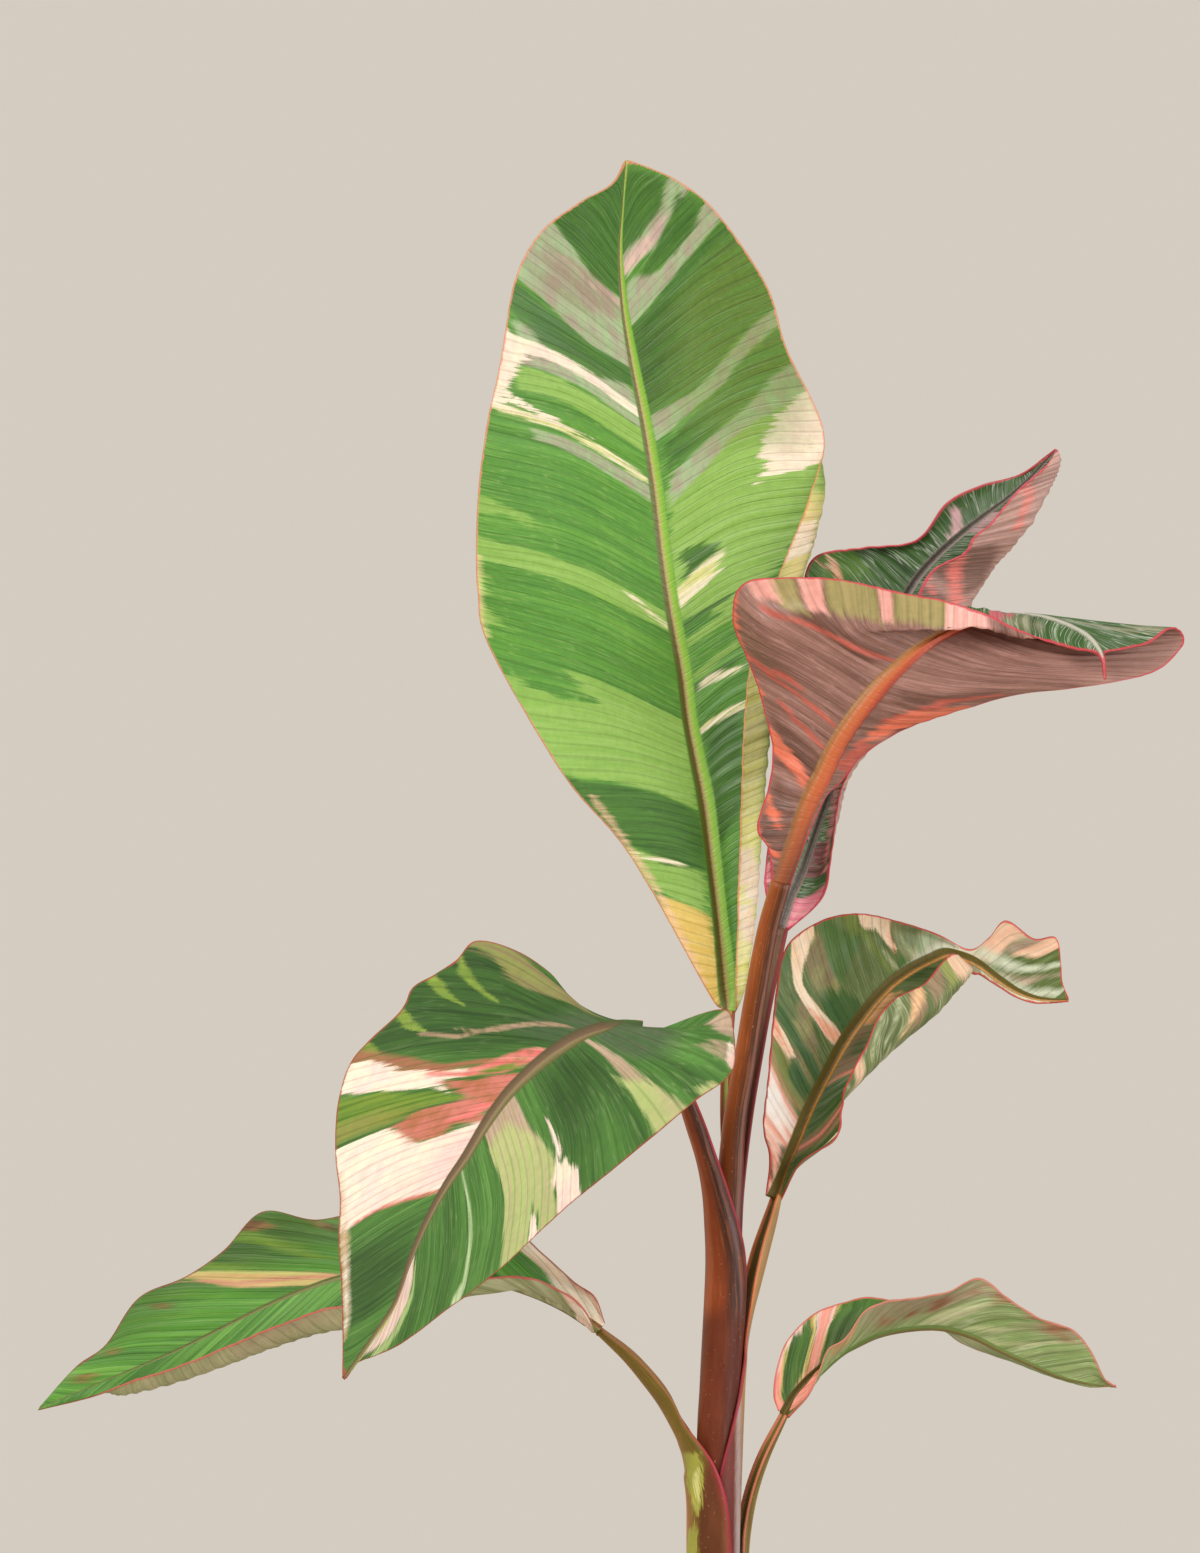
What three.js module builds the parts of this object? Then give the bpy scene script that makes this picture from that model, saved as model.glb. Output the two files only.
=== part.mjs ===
// Potted young pink banana: seven leaves that share one pseudostem, soil and a plain pot.
// Millimetres, +Z up, the viewer looks along +Y, x = 0 and y = 0 on the pot's axis.

import * as THREE from 'three';
import { mergeVertices } from 'three/addons/utils/BufferGeometryUtils.js';

// Pot and soil
const POT_TOP_RADIUS = 90;
const POT_FOOT_RADIUS = 64;
const POT_HEIGHT = 150;
const POT_WALL = 4.5;
const RIM_HEIGHT = 14;
const RIM_OUT = 3;
const SOIL_HEIGHT = 138;
const SOIL_BOTTOM = 7.3;
const FIT_GAP = 0.3;
const STEM_HOLE_RADIUS = 13.7;
const STEM_HOLE_FLOOR = 89.6;
const ROUND_STEPS = 40;

// The nets below give x and z as they appear from here, and the depth y
const VIEW_POINT = [-46.4, -8000, 510.6];

// Blades
const BLADE_THICKNESS = 0.9;
const RIB_FRACTIONS = [0, 0.6, 1];
const RIB_HEIGHTS = [1, 0.72, 0];

// Sections of a stalk: points along the outside and along the inside
const SHEATH_POINTS = 11;

// Each leaf: rows of veins from the base to the tip, as [midrib, left half, right half].
// A half lists the points a vein passes, ending at the margin.
// upper: 1 or -1, the side of the net that is the leaf's upper side.
// columns: strips between the rib and the margin of a half.

const LEAF_A = {
  name: 'leaf_a', upper: 1, columns: 5, ribWidth: 3.0, ribHeight: 2.6,
  rows: [
    [[5.2, 3.5, 417], [[2.4, 3.5, 417.6]], [[8, 3.5, 416.4]]],
    [[4.6, 5, 426], [[-2.5, 4, 423]], [[8, 6, 427], [12, 4, 429], [7.8, 0, 428]]],
    [[2, 8, 451], [[-9, 5, 455], [-22.5, 2, 459]], [[7, 9, 455], [16, 7, 459], [8.6, 0, 456]]],
    [[-1, 11, 476], [[-17, 7, 482], [-38, 3, 484]], [[8, 12, 483], [18, 8, 488], [9.6, 0, 484]]],
    [[-4, 14, 500], [[-30, 9, 506], [-58, 3, 507]], [[8, 14, 508], [20, 9, 513], [10.6, 0, 509]]],
    [[-7, 16, 515], [[-38, 11, 526], [-73, 3, 530.5]], [[6, 16, 526], [22, 10, 533], [11, 0, 528]]],
    [[-10.4, 17.5, 532.4], [[-48, 12, 551], [-91.8, 4, 565]],
      [[6, 17, 546], [26, 12, 556], [13, 3, 551]]],
    [[-13, 19, 552], [[-52, 13, 571], [-95.2, 4, 583]], [[10, 18, 566], [31, 13, 576], [18, 6, 571]]],
    [[-17.6, 20.5, 577], [[-56, 14, 597], [-96, 5, 605]],
      [[8, 19, 594], [38, 14, 603], [28.6, 8, 600]]],
    [[-21, 21.5, 600], [[-58, 15, 619], [-94.8, 5, 628]],
      [[9, 20, 617], [42.5, 14, 622], [37, 10.5, 622]]],
    [[-24, 22, 625], [[-58, 16, 643], [-91.6, 6, 652]], [[12, 20, 646], [43.2, 14, 648]]],
    [[-28, 22, 650], [[-58, 16, 668], [-86.5, 7, 675]], [[6, 20, 672], [28.3, 13, 682]]],
    [[-33, 21.5, 675], [[-60, 16, 694], [-80.8, 9, 708]], [[-4, 19, 697], [19.8, 13, 708]]],
    [[-36.7, 20, 697], [[-55, 16, 716], [-70.4, 10, 728]], [[-16, 18, 720], [0, 13, 736.5]]],
    [[-38.3, 17.5, 719], [[-47, 15, 732], [-55, 11, 740]], [[-28, 16, 737], [-14.5, 13, 748.5]]],
    [[-37.3, 15, 738], [[-39.5, 13.5, 746], [-42, 12, 747.6]],
      [[-32, 13.5, 748], [-25, 12.5, 753.5]]],
    [[-35.8, 12, 757], [[-36.6, 12, 756.8]], [[-35, 12, 757.2]]],
  ],
};

const LEAF_B = {
  name: 'leaf_b', upper: -1, columns: 6, ribWidth: 4.1, ribHeight: 3.4,
  rows: [
    [[26, -23, 468], [[22.2, -22.4, 469]], [[29.8, -22.4, 467]]],
    [[30.5, -25.5, 481], [[25, -25, 480], [21, -24, 481.5]], [[35, -24.5, 482]]],
    [[34, -27, 491], [[25, -26, 490], [16.4, -23, 490]], [[40, -24, 494]]],
    [[38, -28, 501], [[29, -26, 504], [21, -21, 507]], [[44.5, -24, 503]]],
    [[42, -29, 509], [[32, -27, 517], [22.5, -21, 522]], [[50, -23, 508.5]]],
    [[47.5, -30, 521], [[33, -29, 532], [18.5, -20, 541]], [[60, -22, 520]]],
    [[54, -31, 531.5], [[34, -31, 545], [13, -20, 557]], [[66, -24, 530], [77, -20, 530]]],
    [[61.5, -31, 541.5], [[38, -34, 556], [20, -33, 566], [7, -22, 574]],
      [[80, -26, 537], [97, -20, 537]]],
    [[67, -30.5, 548], [[45, -36, 562], [22, -35, 576], [11.6, -24, 588]],
      [[90, -27, 543], [120, -20, 543.5]]],
    [[73, -29.5, 554], [[55, -37, 563], [40, -38, 577.5], [34, -27, 590]],
      [[100, -27, 549], [145, -18, 546.5]]],
    [[80.5, -27.5, 561], [[66, -36, 567], [58, -38, 571.5], [55, -27, 588.5]],
      [[110, -26, 553], [165, -15, 549.5]]],
    [[90, -22, 567], [[80, -31, 572], [76, -37, 569.5], [75, -27, 583.8]],
      [[125, -22, 556], [178, -10, 554]]],
    [[100, -16, 571], [[94, -24, 577], [93, -34, 569.3], [93, -27, 580.6]],
      [[140, -17, 560], [186, -5, 562]]],
    [[110, -12, 574], [[106, -20, 577.5], [108, -30, 570], [108, -28, 575.5]],
      [[150, -10, 567], [187, -6, 567]]],
    [[121, -11, 576], [[119, -19, 573.5], [121, -27, 566.5], [120, -28.5, 570]],
      [[150, -9, 572.5], [182, -11, 569.8]]],
    [[134, -14, 574], [[132, -20, 570], [133, -26, 564.5]], [[155, -15, 568.5], [173, -18, 564]]],
    [[146, -19, 569], [[143, -24, 564.5], [144, -27, 561.5]],
      [[155, -20, 564.5], [163, -22, 561.5]]],
    [[152, -24, 563.5], [[150.5, -26, 560.3]], [[156, -25, 560]]],
    [[155, -28, 556.5], [[154.2, -28, 556.8]], [[155.8, -28, 556.2]]],
    [[155.6, -29, 549.5], [[155.1, -29, 549.5]], [[156.1, -29, 549.5]]],
  ],
};

const LEAF_C = {
  name: 'leaf_c', upper: 1, columns: 5, ribWidth: 3.2, ribHeight: 2.4,
  rows: [
    [[26, 5, 450], [[22.8, 5.5, 451]], [[29.2, 4.5, 449]]],
    [[30, 7, 462], [[25, 8, 463], [19.5, 6, 466]], [[36, 5, 461], [42.5, 1, 462]]],
    [[35, 9, 473], [[27, 12, 480], [20, 10, 476]], [[42, 5, 473], [46, -1, 478]]],
    [[41, 12, 490], [[32, 16, 502], [24, 15, 510]], [[48, 6, 492], [48.5, -3, 497]]],
    [[49, 14.5, 512], [[38, 19, 530], [28, 18, 545]], [[54.5, 8, 513], [52.5, -3, 511]]],
    [[57, 16.5, 535], [[45, 21, 556], [33, 20, 572]], [[77, 9, 540], [68, -3, 538]]],
    [[66, 18, 560], [[50, 22, 585], [38, 20, 597]], [[96, 10, 569], [88, 3, 567], [76, -2, 566]]],
    [[77.6, 18, 585], [[64, 21, 598], [57, 18, 602]], [[100, 14, 588], [108, 8, 591], [84, -2, 590]]],
    [[88, 17, 598], [[82, 18, 603], [79.5, 16, 605]], [[108, 12, 600], [118, 6, 602], [99, -3, 599.5]]],
    [[99.6, 14, 608.4], [[95, 16, 616], [92, 15, 620]], [[117, 10, 609], [125, 4, 611], [103, -4, 606]]],
    [[108, 12, 615], [[106, 14, 623], [105.5, 13, 627]],
      [[122, 8, 617], [129, 3, 618], [109, -4, 611]]],
    [[116, 10, 621], [[116, 11, 627], [117, 11, 630]],
      [[128, 6, 624], [133, 2, 626], [115, -4, 618.5]]],
    [[125, 7, 629], [[124, 8, 631.5], [123.5, 7, 632.5]],
      [[132, 4, 630], [136, 1, 632], [124, -4, 628]]],
    [[131, 4, 635.5], [[129.5, 4.5, 637]], [[135, 2, 635.5], [137.5, -1, 637], [131.5, -4, 634.5]]],
    [[136, 1, 641.3], [[135.4, 1, 641.6]], [[136.6, 1, 641]]],
  ],
};

const LEAF_D = {
  name: 'leaf_d', upper: -1, columns: 5, ribWidth: 3.4, ribHeight: 2.6,
  rows: [
    [[-29, -41.4, 410], [[-29.6, -40, 412.8]], [[-28.4, -42.8, 407.2]]],
    [[-37, -47, 411.5], [[-39, -46, 412.5], [-42, -44, 413.5]],
      [[-24, -46, 409.3], [-8, -41, 409.8], [1.5, -36, 417.5]]],
    [[-42, -50, 410.8], [[-49, -46, 415], [-56, -42, 420.5]],
      [[-20, -50, 409], [-4, -45, 408.5], [7, -37, 410]]],
    [[-47, -54, 409.3], [[-58, -50, 419], [-67, -44, 432.5]],
      [[-22, -55, 400], [-6, -51, 396.5], [6.5, -43, 392.5]]],
    [[-54, -58, 406.8], [[-70, -54, 420], [-80, -46, 441]], [[-30, -60, 394], [-8, -56, 381]]],
    [[-60, -62, 403.6], [[-80, -58, 419], [-96, -49, 444.6]], [[-40, -65, 386], [-24, -62, 367.5]]],
    [[-63.5, -64.5, 401.3], [[-86, -60.5, 415.5], [-104, -53, 437]],
      [[-45, -68, 381.5], [-32.5, -66, 360.5]]],
    [[-67, -67, 398.8], [[-92, -63, 412], [-112.5, -56, 431.5]],
      [[-50, -71, 377], [-41, -70, 353.5]]],
    [[-70.8, -70, 395.8], [[-97, -66.5, 407.5], [-121.5, -59, 426]],
      [[-55, -74.5, 373], [-48.5, -74.5, 347.5]]],
    [[-74.5, -73, 392.5], [[-102, -70, 402], [-126.5, -64, 416.5]], [[-60, -78, 369], [-56, -79, 341.5]]],
    [[-82.5, -79, 384.5], [[-112, -76, 391], [-144.5, -71, 398.5]], [[-71, -85, 357], [-69, -88, 330]]],
    [[-91, -85, 373], [[-120, -83, 377], [-151, -80, 381]], [[-82, -91, 346], [-83, -96, 316.5]]],
    [[-99.6, -92, 358.8], [[-125, -90, 360], [-152.3, -88, 360]], [[-94, -98, 332], [-97, -103, 305]]],
    [[-107, -99, 348], [[-130, -97, 345], [-150.5, -96, 342]], [[-105, -104, 322], [-108, -109, 297]]],
    [[-114.5, -105, 334.5], [[-133, -104, 330], [-151, -103, 325]],
      [[-115, -110, 310], [-119, -114, 288.5]]],
    [[-121.5, -112, 318.5], [[-137, -111, 313], [-150, -110, 309]],
      [[-124, -116, 300], [-128, -119, 282.5]]],
    [[-128, -118, 300.5], [[-140, -118, 296], [-149.5, -117, 294]],
      [[-132, -121, 288], [-136.5, -123, 278.8]]],
    [[-137.5, -125, 286], [[-144, -125, 282.5], [-149.3, -124, 281]],
      [[-140.5, -126, 280.5], [-143.5, -127, 276]]],
    [[-149, -131, 269.8], [[-149.5, -131, 270.3]], [[-148.5, -131, 269.3]]],
  ],
};

const LEAF_E = {
  name: 'leaf_e', upper: -1, columns: 5, ribWidth: 3.0, ribHeight: 2.2,
  rows: [
    [[-46, -13, 289.5], [[-44.4, -13, 292.2]], [[-47.6, -13, 286.8]]],
    [[-54, -13.5, 294.6], [[-51.5, -12, 301], [-48.5, -13, 302.5]], [[-54, -18, 295.5], [-53.5, -21, 298.5]]],
    [[-63, -14, 299.8], [[-60.5, -12, 306], [-57, -13, 308.8]], [[-63, -19, 301], [-62, -23, 304.8]]],
    [[-75, -15, 305], [[-72.5, -13, 314], [-69.5, -14, 320]], [[-76, -21, 305.5], [-75, -26, 310]]],
    [[-90, -16, 309.5], [[-89, -14, 324], [-86, -14, 334]], [[-92, -22, 304], [-91, -28, 310]]],
    [[-108, -17, 312.6], [[-110, -14, 328], [-112, -13, 339]], [[-112, -22, 299], [-110, -29, 304]]],
    [[-128, -17, 313], [[-133, -14, 328], [-136, -12, 338]], [[-134, -20, 292], [-132, -28, 298]]],
    [[-148, -15, 310.6], [[-157, -12, 324], [-160, -10, 333.4]], [[-156, -20, 289], [-152, -27, 298.5]]],
    [[-165, -13, 305], [[-176, -10, 319], [-181.5, -8, 336.5]], [[-175, -18, 283.5], [-170, -25, 293]]],
    [[-180, -11, 298.5], [[-190, -8, 310], [-197, -6, 321]], [[-192, -15, 277], [-188, -23, 285.5]]],
    [[-196, -9, 290.5], [[-206, -7, 302], [-212, -5, 310.6]], [[-208, -12, 271.2], [-205, -20, 278.5]]],
    [[-212, -7, 282.5], [[-221, -5, 292], [-231, -3, 302]], [[-223, -9, 266.8], [-221, -16, 272.8]]],
    [[-228, -5, 275.5], [[-237, -3, 282], [-244, -2, 283.5]], [[-237, -6, 263.7], [-236, -11, 268]]],
    [[-245, -3, 268.5], [[-252, -2, 272.5], [-256, -1, 274.5]], [[-249, -4, 262.5]]],
    [[-270.8, 0, 257.8], [[-270.4, 0, 258.6]], [[-271.2, 0, 257]]],
  ],
};

const LEAF_F = {
  name: 'leaf_f', upper: 1, columns: 5, ribWidth: 3.3, ribHeight: 2.4,
  rows: [
    [[23, 20, 342], [[19.8, 19.6, 343]], [[26.2, 19.6, 341]]],
    [[27, 22, 353], [[24, 20, 356], [21.5, 17, 358]], [[30, 19, 352], [34, 14, 356]]],
    [[31.5, 25, 364], [[25, 22, 368], [18.8, 17, 371]], [[40, 21, 363], [48, 13, 366]]],
    [[37, 28, 377], [[28, 26, 383], [20.5, 20, 388]], [[46, 24, 377], [50.5, 16, 379]]],
    [[43.5, 31, 390], [[33, 30, 399], [22.3, 23, 407]], [[56, 27, 390], [60, 21, 391], [51.5, 14, 386]]],
    [[51, 34, 404], [[38, 34, 414], [23.6, 27, 422]], [[66, 31, 400], [70.5, 25, 402], [60, 17, 403]]],
    [[59, 37, 415.5], [[43, 38, 428], [28, 31, 442]], [[75, 34, 408], [81.5, 28, 412], [65, 20, 414.5]]],
    [[67.5, 40, 425.5], [[53, 42, 440], [41, 36, 452.5]], [[84, 37, 416], [89.5, 31, 419], [72, 24, 422]]],
    [[76.5, 43, 432.5], [[64, 45, 445], [56, 40, 455.8]], [[91, 40, 423], [95.5, 34, 426], [83, 28, 427.5]]],
    [[86, 46, 437.5], [[77, 47, 447], [72, 43, 453]], [[97, 43, 429.5], [100, 38, 431], [90, 33, 436]]],
    [[93, 48, 440], [[90, 48, 444.5], [88, 46, 447.8]], [[99, 46, 434], [102, 42, 433.5], [95.5, 39, 439.5]]],
    [[101, 49, 437.5], [[101.2, 49, 441.6]], [[102.4, 47, 432]]],
    [[106, 50, 435], [[107, 49, 440], [109, 47, 446]], [[105.5, 49, 431.2]]],
    [[110.5, 51, 431.5], [[114, 49, 441], [116, 44, 453]], [[109.5, 50, 428.6]]],
    [[115, 52, 428.2], [[121, 50, 440], [127, 46, 446]], [[114, 51, 425.8]]],
    [[120.5, 53, 424.8], [[129, 51, 436], [136, 48, 446]], [[119.5, 52, 422.4]]],
    [[127, 54, 422.2], [[133, 53, 431], [138, 52, 436]], [[126.5, 53, 420]]],
    [[133.5, 54.5, 421.3], [[136, 54, 425], [138.6, 53.5, 428.5]], [[133, 54, 419.8]]],
    [[141, 55, 421.2], [[141, 55, 422]], [[141, 55, 420.4]]],
  ],
};

const LEAF_G = {
  name: 'leaf_g', upper: 1, columns: 5, ribWidth: 2.6, ribHeight: 2.0,
  rows: [
    [[27, 8, 255.5], [[24.8, 8.6, 257]], [[29.2, 7.4, 254]]],
    [[31, 9, 262], [[27, 10, 264], [23, 9, 263]], [[34, 5, 261.5], [37, 1, 263]]],
    [[36, 10, 268], [[30, 12, 275], [24, 11, 273]], [[40, 5, 268.5], [41, 0, 272]]],
    [[42, 11.5, 273.5], [[36, 14, 286], [28.5, 14, 285]], [[45, 6, 277], [45, 0, 281.5]]],
    [[49, 13, 279.5], [[44, 17, 292], [39, 18, 295.6]], [[52, 7, 283], [52, 1, 286]]],
    [[57, 14.5, 284], [[54, 19, 297], [51, 21, 300]], [[59, 8, 290], [59, 2, 296]]],
    [[65, 16, 287.5], [[63, 21, 298], [61.5, 23, 302.3]], [[67, 9, 294], [68, 3, 300.5]]],
    [[74, 17.5, 289.5], [[75, 24, 296], [76, 27, 299]], [[76, 10, 297], [79, 4, 302]]],
    [[84, 19, 290.3], [[86, 27, 292], [88, 31, 292]], [[88, 11, 299], [93, 6, 304.5]]],
    [[93, 20, 289.6], [[96, 28, 287], [98, 33, 284.5]], [[99, 12, 300], [105.5, 8, 310]]],
    [[103, 21.5, 286.5], [[106, 29, 282.5], [109, 34, 280]], [[110, 14, 297], [117, 10, 302]]],
    [[114, 23, 281], [[118, 29, 277.5], [121, 33, 275.5]], [[121, 17, 290], [129.5, 13, 294]]],
    [[126, 25, 275.5], [[130, 29, 272.5], [133, 32, 271.3]], [[133, 20, 284], [142.5, 17, 289.5]]],
    [[138, 27, 270.5], [[142, 29, 268.6], [145, 31, 267.5]], [[144, 24, 276], [150, 22, 281]]],
    [[148.5, 28.5, 268], [[151, 29.5, 266.8], [152, 30, 266.4]], [[152, 27, 271], [155.5, 26, 270]]],
    [[160, 30, 266.6], [[160, 30, 267.2]], [[160, 30, 266]]],
  ],
};

const LEAVES = [LEAF_A, LEAF_B, LEAF_C, LEAF_D, LEAF_E, LEAF_F, LEAF_G];

// Axis of the pseudostem: x at heights, straight between them and upright below
const STEM_AXIS = [[90, 0], [170, 0], [200, -0.3], [230, 0.5], [260, 1.5], [280, 2.4], [300, 3.6],
  [320, 4.4], [340, 5], [400, 5.4]];

// Sections of each stalk from the foot up.
// ring: [height, outer radius, wrap, wall] about the stem's axis.
// open: [x, y, z, depth radius, side radius, wrap, wall at the back, wall at the edges].
// back: compass angle of the side turned away from the leaf's upper side.
const STALKS = [
  { name: 'leaf_a_stalk', back: 90,
    ring: [[90, 2.7, 125, 2.4], [230, 2.7, 125, 2.4], [300, 2.7, 125, 2.4], [330, 2.6, 125, 2.3]],
    open: [[4.6, 1.1, 351, 2.3, 2.3, 120, 2.0, 1.1], [3.8, 1.9, 377, 2.2, 2.2, 120, 2.0, 1.1],
      [4.4, 2.7, 401, 2.3, 2.3, 115, 2.1, 1.1], [5.1, 3.4, 415.4, 2.4, 2.6, 100, 2.2, 1.1]] },
  { name: 'leaf_b_stalk', back: -110,
    ring: [[90, 6.3, 82, 3], [230, 6.3, 82, 3], [300, 6.3, 82, 3], [332, 6.3, 82, 3]],
    open: [[6, -0.9, 350, 5.6, 5.6, 84, 2.5, 1.4], [7.6, -1.9, 373, 4.8, 4.8, 90, 3.4, 1.8],
      [11.6, -4, 397, 4.5, 4.5, 95, 3.8, 1.6], [15.3, -8, 420, 4.4, 4.4, 97, 3.9, 1.5],
      [20.4, -15.5, 448, 4.2, 4.2, 97, 3.8, 1.5], [25.85, -22.9, 467.4, 3.9, 4.1, 92, 3.6, 1.5]] },
  { name: 'leaf_c_stalk', back: 70,
    ring: [[90, 6.3, 82, 3], [230, 6.3, 82, 3], [300, 6.3, 82, 3], [332, 5.9, 80, 2.6]],
    open: [[6.8, 2.0, 351, 5.0, 5.2, 80, 2.3, 1.4], [11.2, 3.8, 377, 3.7, 4.1, 92, 2.8, 1.4],
      [15.4, 4.6, 400, 3.5, 3.7, 100, 2.8, 1.3], [19.6, 5, 422, 3.3, 3.5, 100, 2.7, 1.3],
      [25.6, 5, 449.2, 3.1, 3.3, 95, 2.6, 1.2]] },
  { name: 'leaf_d_stalk', back: 215,
    ring: [[90, 8.4, 152, 1.6], [230, 8.4, 152, 1.6], [268, 8.4, 150, 1.6], [300, 8.5, 140, 1.7]],
    open: [[4.2, -0.3, 318, 8.5, 8.5, 122, 1.8, 1.4], [3.2, -1.5, 332, 8, 8, 104, 2.1, 1.2],
      [1.0, -4.4, 345, 6.8, 6.7, 95, 2.7, 1.2], [-2.8, -9, 358, 5.4, 5.2, 100, 3.4, 1.2],
      [-7.8, -16, 372, 4.6, 4.9, 106, 3.6, 1.3], [-13.4, -23.6, 387, 3.8, 3.9, 106, 3.4, 1.3],
      [-18, -30.4, 398.5, 3.5, 3.7, 102, 3.2, 1.3], [-22.4, -35.8, 405.4, 3.3, 3.5, 98, 3.0, 1.3],
      [-26.2, -39.4, 408.4, 2.9, 3.2, 88, 2.7, 1.3]] },
  { name: 'leaf_f_stalk', back: 30,
    ring: [[90, 9.8, 150, 0.9], [186, 9.8, 150, 0.9], [204, 9.8, 138, 0.9], [220, 9.8, 126, 0.9],
      [234, 9.9, 112, 1.0], [246, 9.9, 94, 1.0], [257, 10, 76, 1.1], [267, 10, 60, 1.2]],
    open: [[3.4, 0.7, 281, 9.5, 9.5, 50, 1.2, 1], [9.9, 4.5, 296, 5.2, 5.2, 75, 2.2, 1.2],
      [13.3, 7, 308, 4.8, 4.8, 94, 2.9, 1.2], [17.3, 11, 322, 4.4, 4.4, 105, 3.2, 1.2],
      [20.8, 15.8, 333.6, 3.8, 3.9, 102, 3.0, 1.2], [22.95, 19.7, 341.3, 3.1, 3.3, 95, 2.7, 1.2]] },
  { name: 'leaf_e_stalk', back: 185,
    ring: [[90, 11.5, 150, 1.2], [158, 11.5, 150, 1.2], [174, 11.5, 136, 1.2], [188, 11.5, 127, 1.2],
      [203, 11.7, 118, 1.3], [220, 12.2, 106, 1.6]],
    open: [[-0.9, 0, 233, 12.4, 11.6, 92, 1.9, 1.2], [-4.4, -0.3, 241, 10, 10.7, 88, 2.2, 1.2],
      [-9, -1, 247.6, 7.6, 8, 88, 2.7, 1.2], [-14, -2.2, 253.6, 5.3, 5.5, 95, 3.2, 1.2],
      [-19.2, -4, 262.1, 5.0, 4.7, 106, 3.2, 1.2], [-26, -6.6, 270.8, 4.7, 4.3, 108, 3.0, 1.2],
      [-34.5, -9.6, 280.1, 4.1, 3.9, 104, 2.8, 1.2], [-45, -12.7, 288.8, 2.8, 3, 95, 2.5, 1.2]] },
  { name: 'leaf_g_stalk', back: 25,
    ring: [[90, 13.2, 150, 1.1], [126, 13.2, 150, 1.1], [140, 13.2, 132, 1.1], [152, 13.2, 114, 1.1],
      [164, 13.2, 92, 1.1], [175, 13.2, 68, 1.2]],
    open: [[5.8, 4.6, 187, 7.8, 8.4, 62, 2.2, 1.2], [8.6, 7.2, 197, 4.6, 4.8, 88, 2.6, 1.2],
      [10.4, 8.4, 209, 3.7, 3.8, 105, 2.7, 1.2], [13.5, 8.6, 224, 3.3, 3.4, 108, 2.5, 1.2],
      [18.7, 8.2, 239, 3.0, 3.1, 106, 2.3, 1.1], [26.2, 8, 254.4, 2.3, 2.4, 95, 2.1, 1.1]] },
];

const toVector = (p) => new THREE.Vector3(p[0], p[1], p[2]);

// A point given as seen from the viewpoint, moved along its line of sight to its depth y
function placed(p) {
  const near = (p[1] - VIEW_POINT[1]) / -VIEW_POINT[1];
  const x = VIEW_POINT[0] + (p[0] - VIEW_POINT[0]) * near;
  const z = VIEW_POINT[2] + (p[2] - VIEW_POINT[2]) * near;
  return [x, p[1], z, ...p.slice(3)];
}

// Value at t in 0..1 of a smooth curve through the points
function smoothPoint(points, t) {
  const last = points.length - 1;
  const place = Math.min(Math.max(t, 0), 1) * last;
  const i = Math.min(Math.floor(place), last - 1);
  const f = place - i;
  const at = (k) => {
    if (k < 0) return points[0].map((v, n) => 2 * v - points[1][n]);
    if (k > last) return points[last].map((v, n) => 2 * v - points[last - 1][n]);
    return points[k];
  };
  const [a, b, c, d] = [at(i - 1), at(i), at(i + 1), at(i + 2)];
  return b.map((_, n) => 0.5 * (2 * b[n] + (c[n] - a[n]) * f
    + (2 * a[n] - 5 * b[n] + 4 * c[n] - d[n]) * f * f
    + (3 * b[n] - a[n] - 3 * c[n] + d[n]) * f * f * f));
}

// Point of one half of a row at a share of the vein's length
function veinPoint(midrib, half, share) {
  const points = [midrib, ...half];
  const lengths = [0];
  for (let k = 1; k < points.length; k += 1) {
    const step = toVector(points[k]).distanceTo(toVector(points[k - 1]));
    lengths.push(lengths[k - 1] + step);
  }
  const wanted = share * lengths[lengths.length - 1];
  let k = 1;
  while (k < points.length - 1 && lengths[k] < wanted) k += 1;
  const f = (wanted - lengths[k - 1]) / (lengths[k] - lengths[k - 1]);
  return smoothPoint(points, (k - 1 + f) / (points.length - 1));
}

function veinLength(midrib, half) {
  const points = [midrib, ...half].map(toVector);
  let length = 0;
  for (let k = 1; k < points.length; k += 1) length += points[k].distanceTo(points[k - 1]);
  return length;
}

// Closed mesh from rows of outline points, capped at both ends
function solidFromSections(sections) {
  const count = sections[0].length;
  const positions = sections.flat().flatMap((p) => [p.x, p.y, p.z]);
  const index = [];
  for (let s = 0; s < sections.length - 1; s += 1) {
    for (let k = 0; k < count; k += 1) {
      const a = s * count + k;
      const b = s * count + ((k + 1) % count);
      index.push(a, b, b + count, a, b + count, a + count);
    }
  }
  const half = count / 2;
  for (const s of [0, sections.length - 1]) {
    for (let k = 0; k < half - 1; k += 1) {
      const a = s * count + k;
      const b = a + 1;
      const c = s * count + count - 1 - k;
      const d = c - 1;
      if (s === 0) index.push(a, d, b, a, c, d);
      else index.push(a, b, d, a, d, c);
    }
  }
  const geometry = new THREE.BufferGeometry();
  geometry.setAttribute('position', new THREE.Float32BufferAttribute(positions, 3));
  geometry.setIndex(index);
  return turnedOutward(geometry);
}

function turnedOutward(geometry) {
  const p = geometry.attributes.position;
  const index = geometry.index.array;
  const [a, b, c] = [new THREE.Vector3(), new THREE.Vector3(), new THREE.Vector3()];
  let volume = 0;
  for (let t = 0; t < index.length; t += 3) {
    a.fromBufferAttribute(p, index[t]);
    b.fromBufferAttribute(p, index[t + 1]);
    c.fromBufferAttribute(p, index[t + 2]);
    volume += a.dot(b.cross(c));
  }
  if (volume < 0) {
    for (let t = 0; t < index.length; t += 3) {
      [index[t + 1], index[t + 2]] = [index[t + 2], index[t + 1]];
    }
  }
  geometry.computeVertexNormals();
  return geometry;
}

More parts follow.
